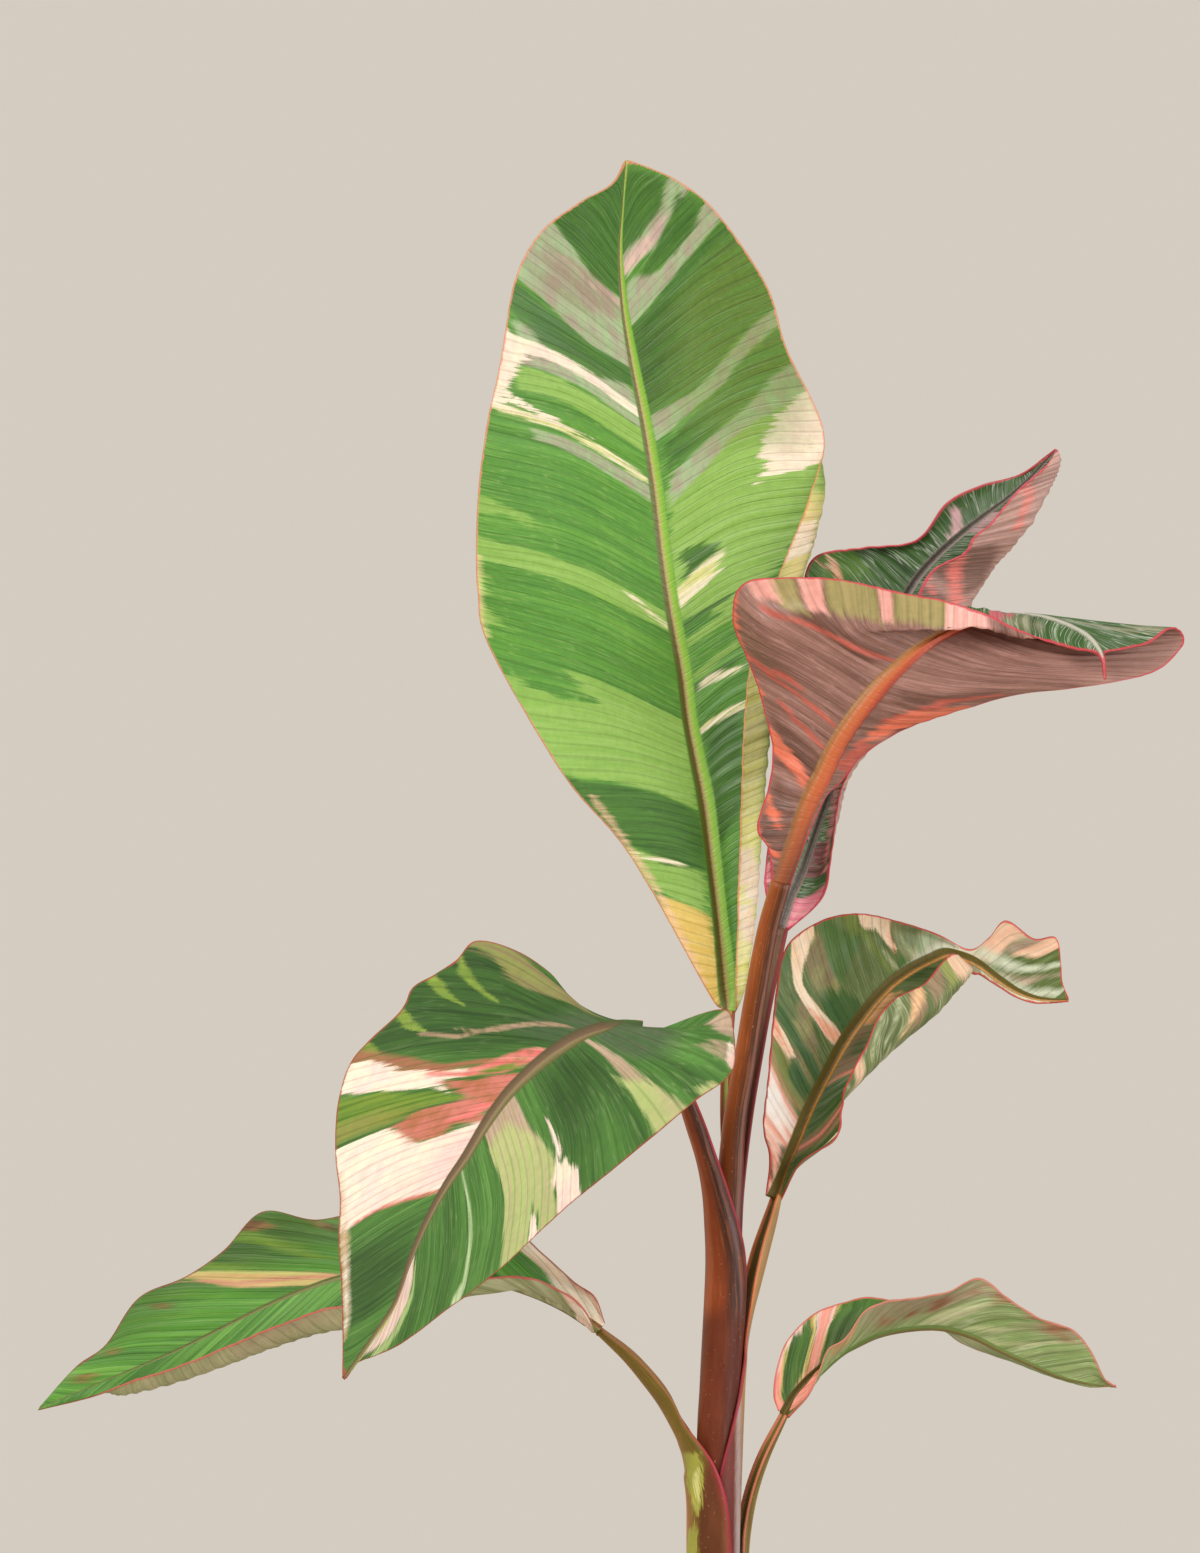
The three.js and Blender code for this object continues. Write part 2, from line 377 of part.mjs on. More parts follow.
function meshOf(name, geometry, color, roughness) {
  const material = new THREE.MeshStandardMaterial({ color, roughness, metalness: 0 });
  const mesh = new THREE.Mesh(geometry, material);
  mesh.name = name;
  return mesh;
}

// Blades: the vein net as a sheet, thickened below the midrib by the rib

function columnShares(leaf, midrib, half, t) {
  const taper = 1 - 0.8 * t;
  const rib = Math.min(0.9, (leaf.ribWidth * taper) / veinLength(midrib, half));
  const shares = RIB_FRACTIONS.map((f) => f * rib);
  for (let k = 1; k <= leaf.columns; k += 1) {
    shares.push(rib + (1 - rib) * (k / leaf.columns));
  }
  return shares;
}

function bladeSections(leaf) {
  const last = leaf.rows.length - 1;
  const grid = leaf.rows.map((row, r) => {
    const [midrib, left, right] = [placed(row[0]), row[1].map(placed), row[2].map(placed)];
    const t = r / last;
    const lefts = columnShares(leaf, midrib, left, t).map((s) => veinPoint(midrib, left, s));
    const rights = columnShares(leaf, midrib, right, t).map((s) => veinPoint(midrib, right, s));
    return [...lefts.slice(1).reverse(), ...rights].map(toVector);
  });
  const middle = (grid[0].length - 1) / 2;
  return grid.map((line, r) => {
    const ahead = grid[Math.min(r + 1, last)];
    const behind = grid[Math.max(r - 1, 0)];
    const taper = 1 - 0.9 * (r / last);
    const top = [];
    const bottom = [];
    line.forEach((point, c) => {
      const across = line[Math.min(c + 1, line.length - 1)].clone().sub(line[Math.max(c - 1, 0)]);
      const along = ahead[c].clone().sub(behind[c]);
      const normal = across.cross(along).normalize().multiplyScalar(leaf.upper);
      const rib = (RIB_HEIGHTS[Math.abs(c - middle)] ?? 0) * leaf.ribHeight * taper;
      top.push(point.clone().addScaledVector(normal, BLADE_THICKNESS / 2));
      bottom.push(point.clone().addScaledVector(normal, -BLADE_THICKNESS / 2 - rib));
    });
    return [...top, ...bottom.reverse()];
  });
}

function buildBlade(leaf, color) {
  return meshOf(`${leaf.name}_blade`, solidFromSections(bladeSections(leaf)), color, 0.55);
}

// Stalks: an open trough that starts as a sheath round the younger leaves

function stemAxis(z) {
  let k = 1;
  while (k < STEM_AXIS.length - 1 && STEM_AXIS[k][0] < z) k += 1;
  const [z0, x0] = STEM_AXIS[k - 1];
  const [z1, x1] = STEM_AXIS[k];
  return x0 + (x1 - x0) * THREE.MathUtils.clamp((z - z0) / (z1 - z0), 0, 1);
}

function stalkStations(stalk) {
  const rings = stalk.ring.map(([z, r, wrap, wall]) => [stemAxis(z), 0, z, r, r, wrap, wall, wall]);
  return [...rings, ...stalk.open.map(placed)];
}

function stalkSections(stalk) {
  const stations = stalkStations(stalk);
  const angle = THREE.MathUtils.degToRad(stalk.back);
  return stations.map((s, k) => {
    const [x, y, z, depth, side, wrap, wallBack, wallEdge] = s;
    const before = toVector(stations[Math.max(k - 1, 0)]);
    const after = toVector(stations[Math.min(k + 1, stations.length - 1)]);
    const inRing = k < stalk.ring.length;
    const along = inRing ? new THREE.Vector3(0, 0, 1) : after.sub(before).normalize();
    const back = new THREE.Vector3(Math.cos(angle), Math.sin(angle), 0);
    back.addScaledVector(along, -back.dot(along)).normalize();
    const sideways = along.clone().cross(back);
    const chordSpread = 1 / Math.cos(THREE.MathUtils.degToRad(wrap) / (SHEATH_POINTS - 1));
    const outside = [];
    const inside = [];
    for (let n = 0; n < SHEATH_POINTS; n += 1) {
      const share = (2 * n) / (SHEATH_POINTS - 1) - 1;
      const turn = THREE.MathUtils.degToRad(wrap) * share;
      const wall = wallBack + (wallEdge - wallBack) * Math.abs(share) ** 1.5;
      const at = (shrink, spread) => new THREE.Vector3(x, y, z)
        .addScaledVector(back, Math.cos(turn) * (depth - shrink) * spread)
        .addScaledVector(sideways, Math.sin(turn) * (side - shrink) * spread);
      outside.push(at(0, 1));
      inside.push(at(wall, inRing ? chordSpread : 1));
    }
    return [...outside, ...inside.reverse()];
  });
}

function buildStalk(stalk, color) {
  return meshOf(stalk.name, solidFromSections(stalkSections(stalk)), color, 0.5);
}

// Pot and soil

function potGeometry() {
  const inTop = POT_TOP_RADIUS - POT_WALL;
  const inFoot = POT_FOOT_RADIUS - POT_WALL;
  const rimFoot = POT_HEIGHT - RIM_HEIGHT;
  const profile = [[0, 0], [POT_FOOT_RADIUS - 2, 0], [POT_FOOT_RADIUS, 2],
    [wallRadius(rimFoot), rimFoot], [POT_TOP_RADIUS + RIM_OUT, rimFoot + 1],
    [POT_TOP_RADIUS + RIM_OUT, POT_HEIGHT - 2], [POT_TOP_RADIUS + RIM_OUT - 2, POT_HEIGHT],
    [inTop + 1, POT_HEIGHT], [inTop, POT_HEIGHT - 1], [inFoot, SOIL_BOTTOM - FIT_GAP],
    [0, SOIL_BOTTOM - FIT_GAP]];
  return latheFrom(profile);
}

// Outer radius of the pot's wall at a height, below the rim
function wallRadius(z) {
  return POT_FOOT_RADIUS + ((POT_TOP_RADIUS - POT_FOOT_RADIUS) * z) / POT_HEIGHT;
}

// Inner radius of the pot's wall at a height
function innerRadius(z) {
  const inFoot = POT_FOOT_RADIUS - POT_WALL;
  const inTop = POT_TOP_RADIUS - POT_WALL;
  const share = (z - SOIL_BOTTOM + FIT_GAP) / (POT_HEIGHT - 1 - SOIL_BOTTOM + FIT_GAP);
  return inFoot + (inTop - inFoot) * share;
}

function soilGeometry() {
  const profile = [[0, SOIL_BOTTOM], [innerRadius(SOIL_BOTTOM) - FIT_GAP, SOIL_BOTTOM],
    [innerRadius(SOIL_HEIGHT - 3) - FIT_GAP, SOIL_HEIGHT - 3], [62, SOIL_HEIGHT - 1.2],
    [34, SOIL_HEIGHT], [STEM_HOLE_RADIUS, SOIL_HEIGHT + 0.6], [STEM_HOLE_RADIUS, STEM_HOLE_FLOOR],
    [0, STEM_HOLE_FLOOR]];
  return latheFrom(profile);
}

function latheFrom(profile) {
  const points = profile.map(([r, z]) => new THREE.Vector2(r, z));
  const geometry = new THREE.LatheGeometry(points, ROUND_STEPS);
  geometry.rotateX(Math.PI / 2);
  geometry.deleteAttribute('normal');
  geometry.deleteAttribute('uv');
  return turnedOutward(mergeVertices(geometry, 1e-4));
}

const BLADE_COLORS = [0x6f9a45, 0x8a5648, 0x4a6b3c, 0x4f7a3d, 0x4c8338, 0x6a8a4c, 0x7ea05e];
const STALK_COLORS = [0x9aa84a, 0xa85a30, 0x8a5a3c, 0xa3532f, 0x7a6f2c, 0x80702c, 0x7c7030];

const plant = new THREE.Group();
plant.name = 'potted_nono_pink_banana';
plant.add(meshOf('pot', potGeometry(), 0xd9d3c8, 0.6));
plant.add(meshOf('soil', soilGeometry(), 0x3c2a20, 0.95));
STALKS.forEach((stalk, k) => plant.add(buildStalk(stalk, STALK_COLORS[k])));
LEAVES.forEach((leaf, k) => plant.add(buildBlade(leaf, BLADE_COLORS[k])));

export default plant;
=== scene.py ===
import math

import bmesh
import bpy
import numpy as np
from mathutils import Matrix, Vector, noise


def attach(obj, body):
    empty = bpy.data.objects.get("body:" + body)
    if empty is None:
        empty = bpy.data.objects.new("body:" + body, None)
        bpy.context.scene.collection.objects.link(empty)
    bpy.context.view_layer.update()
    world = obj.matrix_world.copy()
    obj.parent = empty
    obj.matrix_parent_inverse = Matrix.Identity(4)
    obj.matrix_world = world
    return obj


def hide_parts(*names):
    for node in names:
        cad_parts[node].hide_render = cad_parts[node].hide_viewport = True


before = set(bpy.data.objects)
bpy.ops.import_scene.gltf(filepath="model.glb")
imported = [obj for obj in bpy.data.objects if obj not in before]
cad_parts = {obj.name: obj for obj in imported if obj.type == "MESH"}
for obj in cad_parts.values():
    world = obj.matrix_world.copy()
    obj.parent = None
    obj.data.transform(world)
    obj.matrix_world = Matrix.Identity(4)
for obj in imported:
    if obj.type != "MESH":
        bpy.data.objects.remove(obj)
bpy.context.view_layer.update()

# Young pink banana in a pot. Nets and sections are in millimetres, as seen from the
# front: x and z where a point shows, y its depth. Meshes are in metres.

mm = 0.001
viewPoint = np.array((-46.4, -8000.0, 510.6))


# Small helpers

def linear(color):
    parts = [c / 255 for c in color]
    return tuple(p / 12.92 if p <= 0.04045 else ((p + 0.055) / 1.055) ** 2.4 for p in parts)


def paint(color):
    return (*linear(color), 1.0)


def placed(p):  # a point as seen, moved along its line of sight to its depth
    near = (p[1] - viewPoint[1]) / -viewPoint[1]
    x = viewPoint[0] + (p[0] - viewPoint[0]) * near
    z = viewPoint[2] + (p[2] - viewPoint[2]) * near
    return np.array((x, p[1], z, *p[3:]), dtype=float)


def seen(points):  # x and z where points show from the front
    near = (points[..., 1] - viewPoint[1]) / -viewPoint[1]
    x = viewPoint[0] + (points[..., 0] - viewPoint[0]) / near
    z = viewPoint[2] + (points[..., 2] - viewPoint[2]) / near
    return x, z


def smoothPoint(points, t):  # a smooth curve through the points, t from 0 to 1
    last = len(points) - 1
    place = min(max(t, 0.0), 1.0) * last
    i = min(int(place), last - 1)
    f = place - i
    b, c = points[i], points[i + 1]
    a = points[i - 1] if i > 0 else 2 * b - c
    d = points[i + 2] if i + 2 <= last else 2 * c - b
    return 0.5 * (2 * b + (c - a) * f + (2 * a - 5 * b + 4 * c - d) * f * f
                  + (3 * b - a - 3 * c + d) * f ** 3)


def wave(x, y, seed):  # soft noise, about -1 to 1
    return noise.noise(Vector((x, y, seed)))


def smoothStep(low, high, value):
    t = np.clip((value - low) / (high - low), 0, 1)
    return t * t * (3 - 2 * t)


def newObject(name, data):
    obj = bpy.data.objects.new(name, data)
    bpy.context.scene.collection.objects.link(obj)
    return obj


def meshObject(name, vertices, faces, materials, faceMaterials=None):
    mesh = bpy.data.meshes.new(name)
    mesh.from_pydata([tuple(v) for v in vertices], [], faces)
    for material in materials:
        mesh.materials.append(material)
    if faceMaterials is not None:
        mesh.polygons.foreach_set("material_index", faceMaterials)
    mesh.polygons.foreach_set("use_smooth", [True] * len(mesh.polygons))
    mesh.validate()
    mesh.update()
    return newObject(name, mesh)


def addAttribute(obj, name, values, kind="FLOAT"):
    layer = obj.data.attributes.new(name, kind, "POINT")
    flat = np.asarray(values, dtype=np.float32).ravel()
    layer.data.foreach_set("value" if kind == "FLOAT" else "vector", flat)


def dress(obj, node):
    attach(obj, "root")
    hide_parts(node)


# Node helpers

def addNode(tree, kind, values=None, **settings):
    made = tree.nodes.new(kind)
    for key, value in settings.items():
        setattr(made, key, value)
    for key, value in (values or {}).items():
        if isinstance(value, bpy.types.NodeSocket):
            tree.links.new(value, made.inputs[key])
        else:
            made.inputs[key].default_value = value
    return made


def calc(tree, operation, a, b=0.0, c=0.0):
    return addNode(tree, "ShaderNodeMath", {0: a, 1: b, 2: c}, operation=operation).outputs[0]


def blended(tree, a, partA, b, partB):
    return calc(tree, "MULTIPLY_ADD", b, partB, calc(tree, "MULTIPLY", a, partA))


def swing(tree, value, size):  # a noise moved to both sides of zero
    return calc(tree, "MULTIPLY_ADD", value, size, -0.5 * size)


def mixColor(tree, factor, a, b):
    return addNode(tree, "ShaderNodeMix", {0: factor, 6: a, 7: b}, data_type="RGBA").outputs[2]


def scaled(tree, color, factor):
    return addNode(tree, "ShaderNodeVectorMath", {0: color, "Scale": factor}, operation="SCALE").outputs[0]


def together(tree, x, y):  # two values as a place
    return addNode(tree, "ShaderNodeCombineXYZ", {0: x, 1: y}).outputs[0]


def ramp(tree, factor, stops):
    made = addNode(tree, "ShaderNodeValToRGB", {0: factor})
    elements = made.color_ramp.elements
    while len(elements) < len(stops):
        elements.new(0.5)
    for element, (place, color) in zip(elements, stops):
        element.position = place
        element.color = paint(color)
    return made.outputs[0]


def noiseAt(tree, place, scale, detail=2.0, roughness=0.5):
    values = {"Vector": place, "Scale": scale, "Detail": detail, "Roughness": roughness}
    return addNode(tree, "ShaderNodeTexNoise", values).outputs["Fac"]


def stretched(tree, place, factors):
    return addNode(tree, "ShaderNodeVectorMath", {0: place, 1: factors}, operation="MULTIPLY").outputs[0]


def remap(tree, value, low, high, outLow=0.0, outHigh=1.0):
    values = {"Value": value, "From Min": low, "From Max": high, "To Min": outLow, "To Max": outHigh}
    return addNode(tree, "ShaderNodeMapRange", values).outputs[0]


def attribute(tree, name):
    return addNode(tree, "ShaderNodeAttribute", attribute_name=name)


def objectPlace(tree):
    return addNode(tree, "ShaderNodeTexCoord").outputs["Object"]


def separated(tree, place):
    return addNode(tree, "ShaderNodeSeparateXYZ", {0: place}).outputs


def newMaterial(name):
    material = bpy.data.materials.new(name)
    material.use_nodes = True
    material.node_tree.nodes.clear()
    return material, material.node_tree


def closeMaterial(tree, color, roughness, height=None, bump=0.3, distance=0.0004, glow=0.0, shine=0.5):
    shader = addNode(tree, "ShaderNodeBsdfPrincipled", {"Base Color": color, "Roughness": roughness})
    shader.inputs["Specular IOR Level"].default_value = shine
    if height is not None:
        relief = addNode(tree, "ShaderNodeBump", {"Height": height, "Strength": bump, "Distance": distance})
        tree.links.new(relief.outputs[0], shader.inputs["Normal"])
    result = shader.outputs[0]
    if glow:
        thin = addNode(tree, "ShaderNodeBsdfTranslucent", {"Color": color})
        result = addNode(tree, "ShaderNodeMixShader", {0: glow, 1: result, 2: thin.outputs[0]}).outputs[0]
    output = addNode(tree, "ShaderNodeOutputMaterial")
    tree.links.new(result, output.inputs["Surface"])


# Marks: places with another colour. They are given as seen from the front and laid
# on the net, so that their sides follow the veins and their ends are ragged. A shape
# of points with two numbers is a patch, and one with three is a line with half widths.

teeth = 0.28  # distances along a vein count less, which makes long teeth at a mark's ends
fieldLimit = 8.0  # a greater distance counts as this one
markDefaults = {"jag": 5, "mottle": 0.8, "soft": 0.5, "cover": 0.95}  # for the marks of leaves


def patchField(u, v, points):  # distance to the outline, positive inside
    away = np.full(u.shape, 1e9)
    inside = np.zeros(u.shape, dtype=bool)
    for (u0, v0), (u1, v1) in zip(points, points[1:] + points[:1]):
        du, dv = u1 - u0, v1 - v0
        t = np.clip(((u - u0) * du + (v - v0) * dv) / (du * du + dv * dv + 1e-9), 0, 1)
        away = np.minimum(away, np.hypot(u - u0 - t * du, v - v0 - t * dv))
        if v0 != v1:
            crosses = (v0 > v) != (v1 > v)
            inside ^= crosses & (u < u0 + (v - v0) * du / dv)
    return np.where(inside, away, -away)


def lineField(u, v, points):  # points: (u, v, half width)
    best = np.full(u.shape, -1e9)
    for (u0, v0, w0), (u1, v1, w1) in zip(points, points[1:]):
        du, dv = u1 - u0, v1 - v0
        t = np.clip(((u - u0) * du + (v - v0) * dv) / (du * du + dv * dv + 1e-9), 0, 1)
        best = np.maximum(best, w0 + (w1 - w0) * t - np.hypot(u - u0 - t * du, v - v0 - t * dv))
    return best


def netSpot(net, half, side, x, z, beyond):  # the place on the net that shows at x and z
    away = np.hypot(net["seenX"] - x, net["seenZ"] - z)
    if half != "both":
        away = away + np.where(net["side"] * (1 if half == "right" else -1) < 0, 1e3, 0)
    away = away + np.where(net["faces"][side], 0, 60)
    r, c = np.unravel_index(np.argmin(away), away.shape)
    share = net["share"][r, c]
    u, v = net["course"][r, c], share * net["veinLength"][r, c] * teeth
    if beyond:  # an outline's corner at the leaf's edge is put outside it
        v += 8 * np.sign(share) * (abs(share) > 0.97)
        v -= 2 * (abs(share) < 0.08) * {"right": 1, "left": -1, "both": 0}[half]
        u += 6 * (int(r == away.shape[0] - 1) - int(r == 0))
    return float(u), float(v)


def marksOf(leaf, side):  # the marks of the upper side may show through
    through = leaf["upperMarks"] if "through" in leaf[side] else []
    return [(mark, "upper") for mark in through] + [(mark, side) for mark in leaf[side + "Marks"]]


def markField(net, mark, side):
    field = np.full(net["share"].shape, -fieldLimit)
    u, v = net["course"], net["share"] * net["veinLength"] * teeth
    for half, shape in [(half, one) for half in ("left", "right", "both") for one in mark.get(half, [])]:
        if len(shape[0]) == 3:
            one = lineField(u, v, [(*netSpot(net, half, side, x, z, False), w) for x, z, w in shape])
        else:
            one = patchField(u, v, [netSpot(net, half, side, x, z, True) for x, z in shape])
        if half != "both":
            one = np.where(net["side"] * (1 if half == "right" else -1) >= 0, one, -fieldLimit)
        field = np.maximum(field, one)
    return np.clip(field, -fieldLimit, fieldLimit)


# Colours of the leaves

tones = {
    "dark": (58, 104, 36),
    "mid": (84, 144, 48),
    "light": (154, 194, 96),
    "sage": (166, 190, 144),
    "mauve": (174, 164, 144),
    "cream": (252, 238, 214),
    "peach": (250, 218, 190),
    "gold": (232, 194, 92),
    "straw": (222, 220, 140),
}


# Blades: the vein net as a sheet with a ribbed back, pleats and a waved margin

blade = {
    "thickness": 0.9,
    "marginThickness": 0.55,
    "rowSplit": 12,  # fine rows to a row of the net
    "columns": 22,  # fine columns to a half
    "groove": 1.1,  # of the midrib's upper side
    "pleat": 0.42,
    "pleatLength": 5.4,
    "marginWave": 0.7,
    "furrowSpacing": 3.4,
}
ribSteps = (0, 0.3, 0.6, 0.85, 1.0)


def veinLength(vein):
    return float(np.linalg.norm(np.diff(vein[:, :3], axis=0), axis=1).sum())


def veinPoint(vein, share):
    steps = np.linalg.norm(np.diff(vein, axis=0), axis=1)
    lengths = np.concatenate(((0,), np.cumsum(steps)))
    wanted = share * lengths[-1]
    k = 1
    while k < len(vein) - 1 and lengths[k] < wanted:
        k += 1
    f = (wanted - lengths[k - 1]) / max(lengths[k] - lengths[k - 1], 1e-9)
    return smoothPoint(vein, (k - 1 + f) / (len(vein) - 1))


def columnShares(leaf, length, t):  # the places of the columns on one vein, and the rib's
    rib = min(0.9, leaf["ribShow"] * (1 - 0.8 * t ** 3) / length)
    inner = max(rib + 0.04, 1 - 0.8 / length)
    shares = [rib * f for f in ribSteps]
    shares += [rib + (inner - rib) * k / blade["columns"] for k in range(1, blade["columns"] + 1)]
    return shares + [1.0], rib


def bladeNet(leaf):  # the middle surface as arrays of rows and columns
    coarse, shares, ribs, lengths = [], [], [], []
    last = len(leaf["rows"]) - 1
    for r, (midrib, left, right) in enumerate(leaf["rows"]):
        row, rowShares, rowRibs, rowLengths = [], [], [], []
        for side, half in ((-1, left), (1, right)):
            vein = np.array([placed(p) for p in [midrib, *half]])
            length = veinLength(vein)
            steps, rib = columnShares(leaf, length, r / last)
            line = [(veinPoint(vein, s), side * s, side * s / rib, length) for s in steps]
            line = line[:0:-1] if side < 0 else line
            for point, share, ribShare, whole in line:
                row.append(point)
                rowShares.append(share)
                rowRibs.append(ribShare)
                rowLengths.append(whole)
        coarse.append(row)
        shares.append(rowShares)
        ribs.append(rowRibs)
        lengths.append(rowLengths)
    fineCount = last * blade["rowSplit"] + 1

    def finer(values):
        values = np.array(values)
        return np.array([smoothPoint(values, r / (fineCount - 1)) for r in range(fineCount)])

    points = finer(coarse)
    middle = points[:, points.shape[1] // 2]
    arc = np.concatenate(((0,), np.cumsum(np.linalg.norm(np.diff(middle, axis=0), axis=1))))
    share = np.clip(finer(shares), -1, 1)
    net = {"points": points, "share": share, "rib": finer(ribs), "veinLength": finer(lengths)}
    net["arc"] = np.repeat(arc[:, None], points.shape[1], axis=1)
    net["side"] = np.sign(np.arange(points.shape[1]) - points.shape[1] // 2)[None, :] + 0 * share
    slant = np.where(net["side"] < 0, *leaf.get("slant", (0, 0)))
    net["course"] = (net["arc"] - slant * np.abs(share) * net["veinLength"]) / np.sqrt(1 + slant ** 2)
    net["along"] = np.repeat(np.linspace(0, 1, fineCount)[:, None], points.shape[1], axis=1)
    across = np.gradient(points, axis=1)
    along = np.gradient(points, axis=0)
    normal = np.cross(across, along) * leaf["facing"]
    net["normal"] = normal / np.maximum(np.linalg.norm(normal, axis=2, keepdims=True), 1e-9)
    net["seenX"], net["seenZ"] = seen(points)
    toViewer = net["normal"][..., 1] < 0
    net["faces"] = {"upper": toViewer, "under": ~toViewer}
    return net


def pleated(leaf, net):  # moves the sheet a little along its normal
    seed = leaf["seed"]
    share, arc, course = np.abs(net["share"]), net["arc"], net["course"]
    rows, columns = share.shape
    shift = np.zeros((rows, columns))
    for r in range(rows):
        for c in range(columns):
            a, along, side = arc[r, c], course[r, c], net["side"][r, c]
            across = share[r, c]
            phase = 2 * math.pi * (along / blade["pleatLength"] + 1.6 * wave(along / 30, 3.1 * side, seed))
            strength = 0.65 + 0.55 * wave(along / 22, 5.7 * side, seed + 4)
            rise = float(smoothStep(0.02, 0.2, across) * (1 - 0.45 * smoothStep(0.7, 1, across)))
            edge = wave(a / 15, 9.3 * side, seed + 8) + 0.5 * wave(a / 6, 2.2 * side, seed)
            shift[r, c] = blade["pleat"] * strength * math.sin(phase) * rise
            shift[r, c] += blade["marginWave"] * edge * across ** 4
    ends = smoothStep(0, 0.05, net["along"]) * smoothStep(0, 0.06, 1 - net["along"])
    size = np.minimum(1, net["veinLength"] / 25)
    return shift * ends * size


def bladeShell(leaf, net):
    taper = 1 - 0.9 * net["along"]
    ribPlace = np.abs(net["rib"])
    across = np.abs(net["share"]) * net["veinLength"]
    dome = np.sqrt(np.clip(1 - (across / (leaf["ribWidth"] * (1 - 0.8 * net["along"]))) ** 2, 0, 1))
    lip = np.exp(-((ribPlace - 0.85) / 0.25) ** 2)
    groove = blade["groove"] * taper * (np.clip(1 - ribPlace, 0, 1) - 0.35 * lip)
    thin = smoothStep(0.75, 1.0, np.abs(net["share"]))
    half = (blade["thickness"] * (1 - thin) + blade["marginThickness"] * thin) / 2
    middle = net["points"] + net["normal"] * pleated(leaf, net)[..., None]
    top = middle + net["normal"] * (half - groove)[..., None]
    bottom = middle - net["normal"] * (half + leaf["ribHeight"] * taper * dome)[..., None]
    rows, columns = ribPlace.shape
    vertices = np.concatenate((top.reshape(-1, 3), bottom.reshape(-1, 3))) * mm
    count = rows * columns
    faces, kinds = [], []

    def add(kind, *corners):
        faces.append(corners if leaf["facing"] > 0 else corners[::-1])
        kinds.append(kind)

    for r in range(rows - 1):
        for c in range(columns - 1):
            a, b = r * columns + c, r * columns + c + 1
            d, e = a + columns, b + columns
            add(0, a, b, e, d)
            add(1, count + a, count + d, count + e, count + b)
        a, b = r * columns, r * columns + columns - 1
        add(1, a, a + columns, count + a + columns, count + a)
        add(1, b, count + b, count + b + columns, b + columns)
    last = (rows - 1) * columns
    for c in range(columns - 1):
        add(1, c, count + c, count + c + 1, c + 1)
        add(1, last + c, last + c + 1, count + last + c + 1, count + last + c)
    return vertices, faces, kinds


def makeBlade(leaf):
    net = bladeNet(leaf)
    vertices, faces, kinds = bladeShell(leaf, net)
    materials = [leafMaterial(leaf, "upper"), leafMaterial(leaf, "under")]
    obj = meshObject(leaf["name"] + "_blade_skin", vertices, faces, materials, kinds)
    edge = (1 - np.abs(net["share"])) * net["veinLength"]
    across = net["share"] * net["veinLength"]
    place = np.stack((net["course"], across, edge), axis=2).reshape(-1, 3)
    addAttribute(obj, "leafPlace", np.concatenate((place, place)), "FLOAT_VECTOR")
    addAttribute(obj, "ribPlace", np.concatenate((net["rib"].ravel(), net["rib"].ravel())))
    upper, under = marksOf(leaf, "upper"), marksOf(leaf, "under")
    for k in range(max(len(upper), len(under))):
        pair = [markField(net, *marks[k]) if k < len(marks) else net["share"] for marks in (upper, under)]
        addAttribute(obj, f"mark{k}", np.concatenate([field.ravel() for field in pair]))
    dress(obj, leaf["name"] + "_blade")
    print("blade", leaf["name"], len(faces), "faces")


# A leaf's skin: streaks along the veins, marks, red margin, midrib in stripes

# Sizes of the patterns, to a millimetre, and how far the streaks are drawn out
skin = {"wide": 0.13, "streak": 0.5, "fine": 1.6, "threads": 0.75, "blotch": 0.35, "cloud": 0.11,
        "freckle": 1.5, "drawnOut": 0.05}


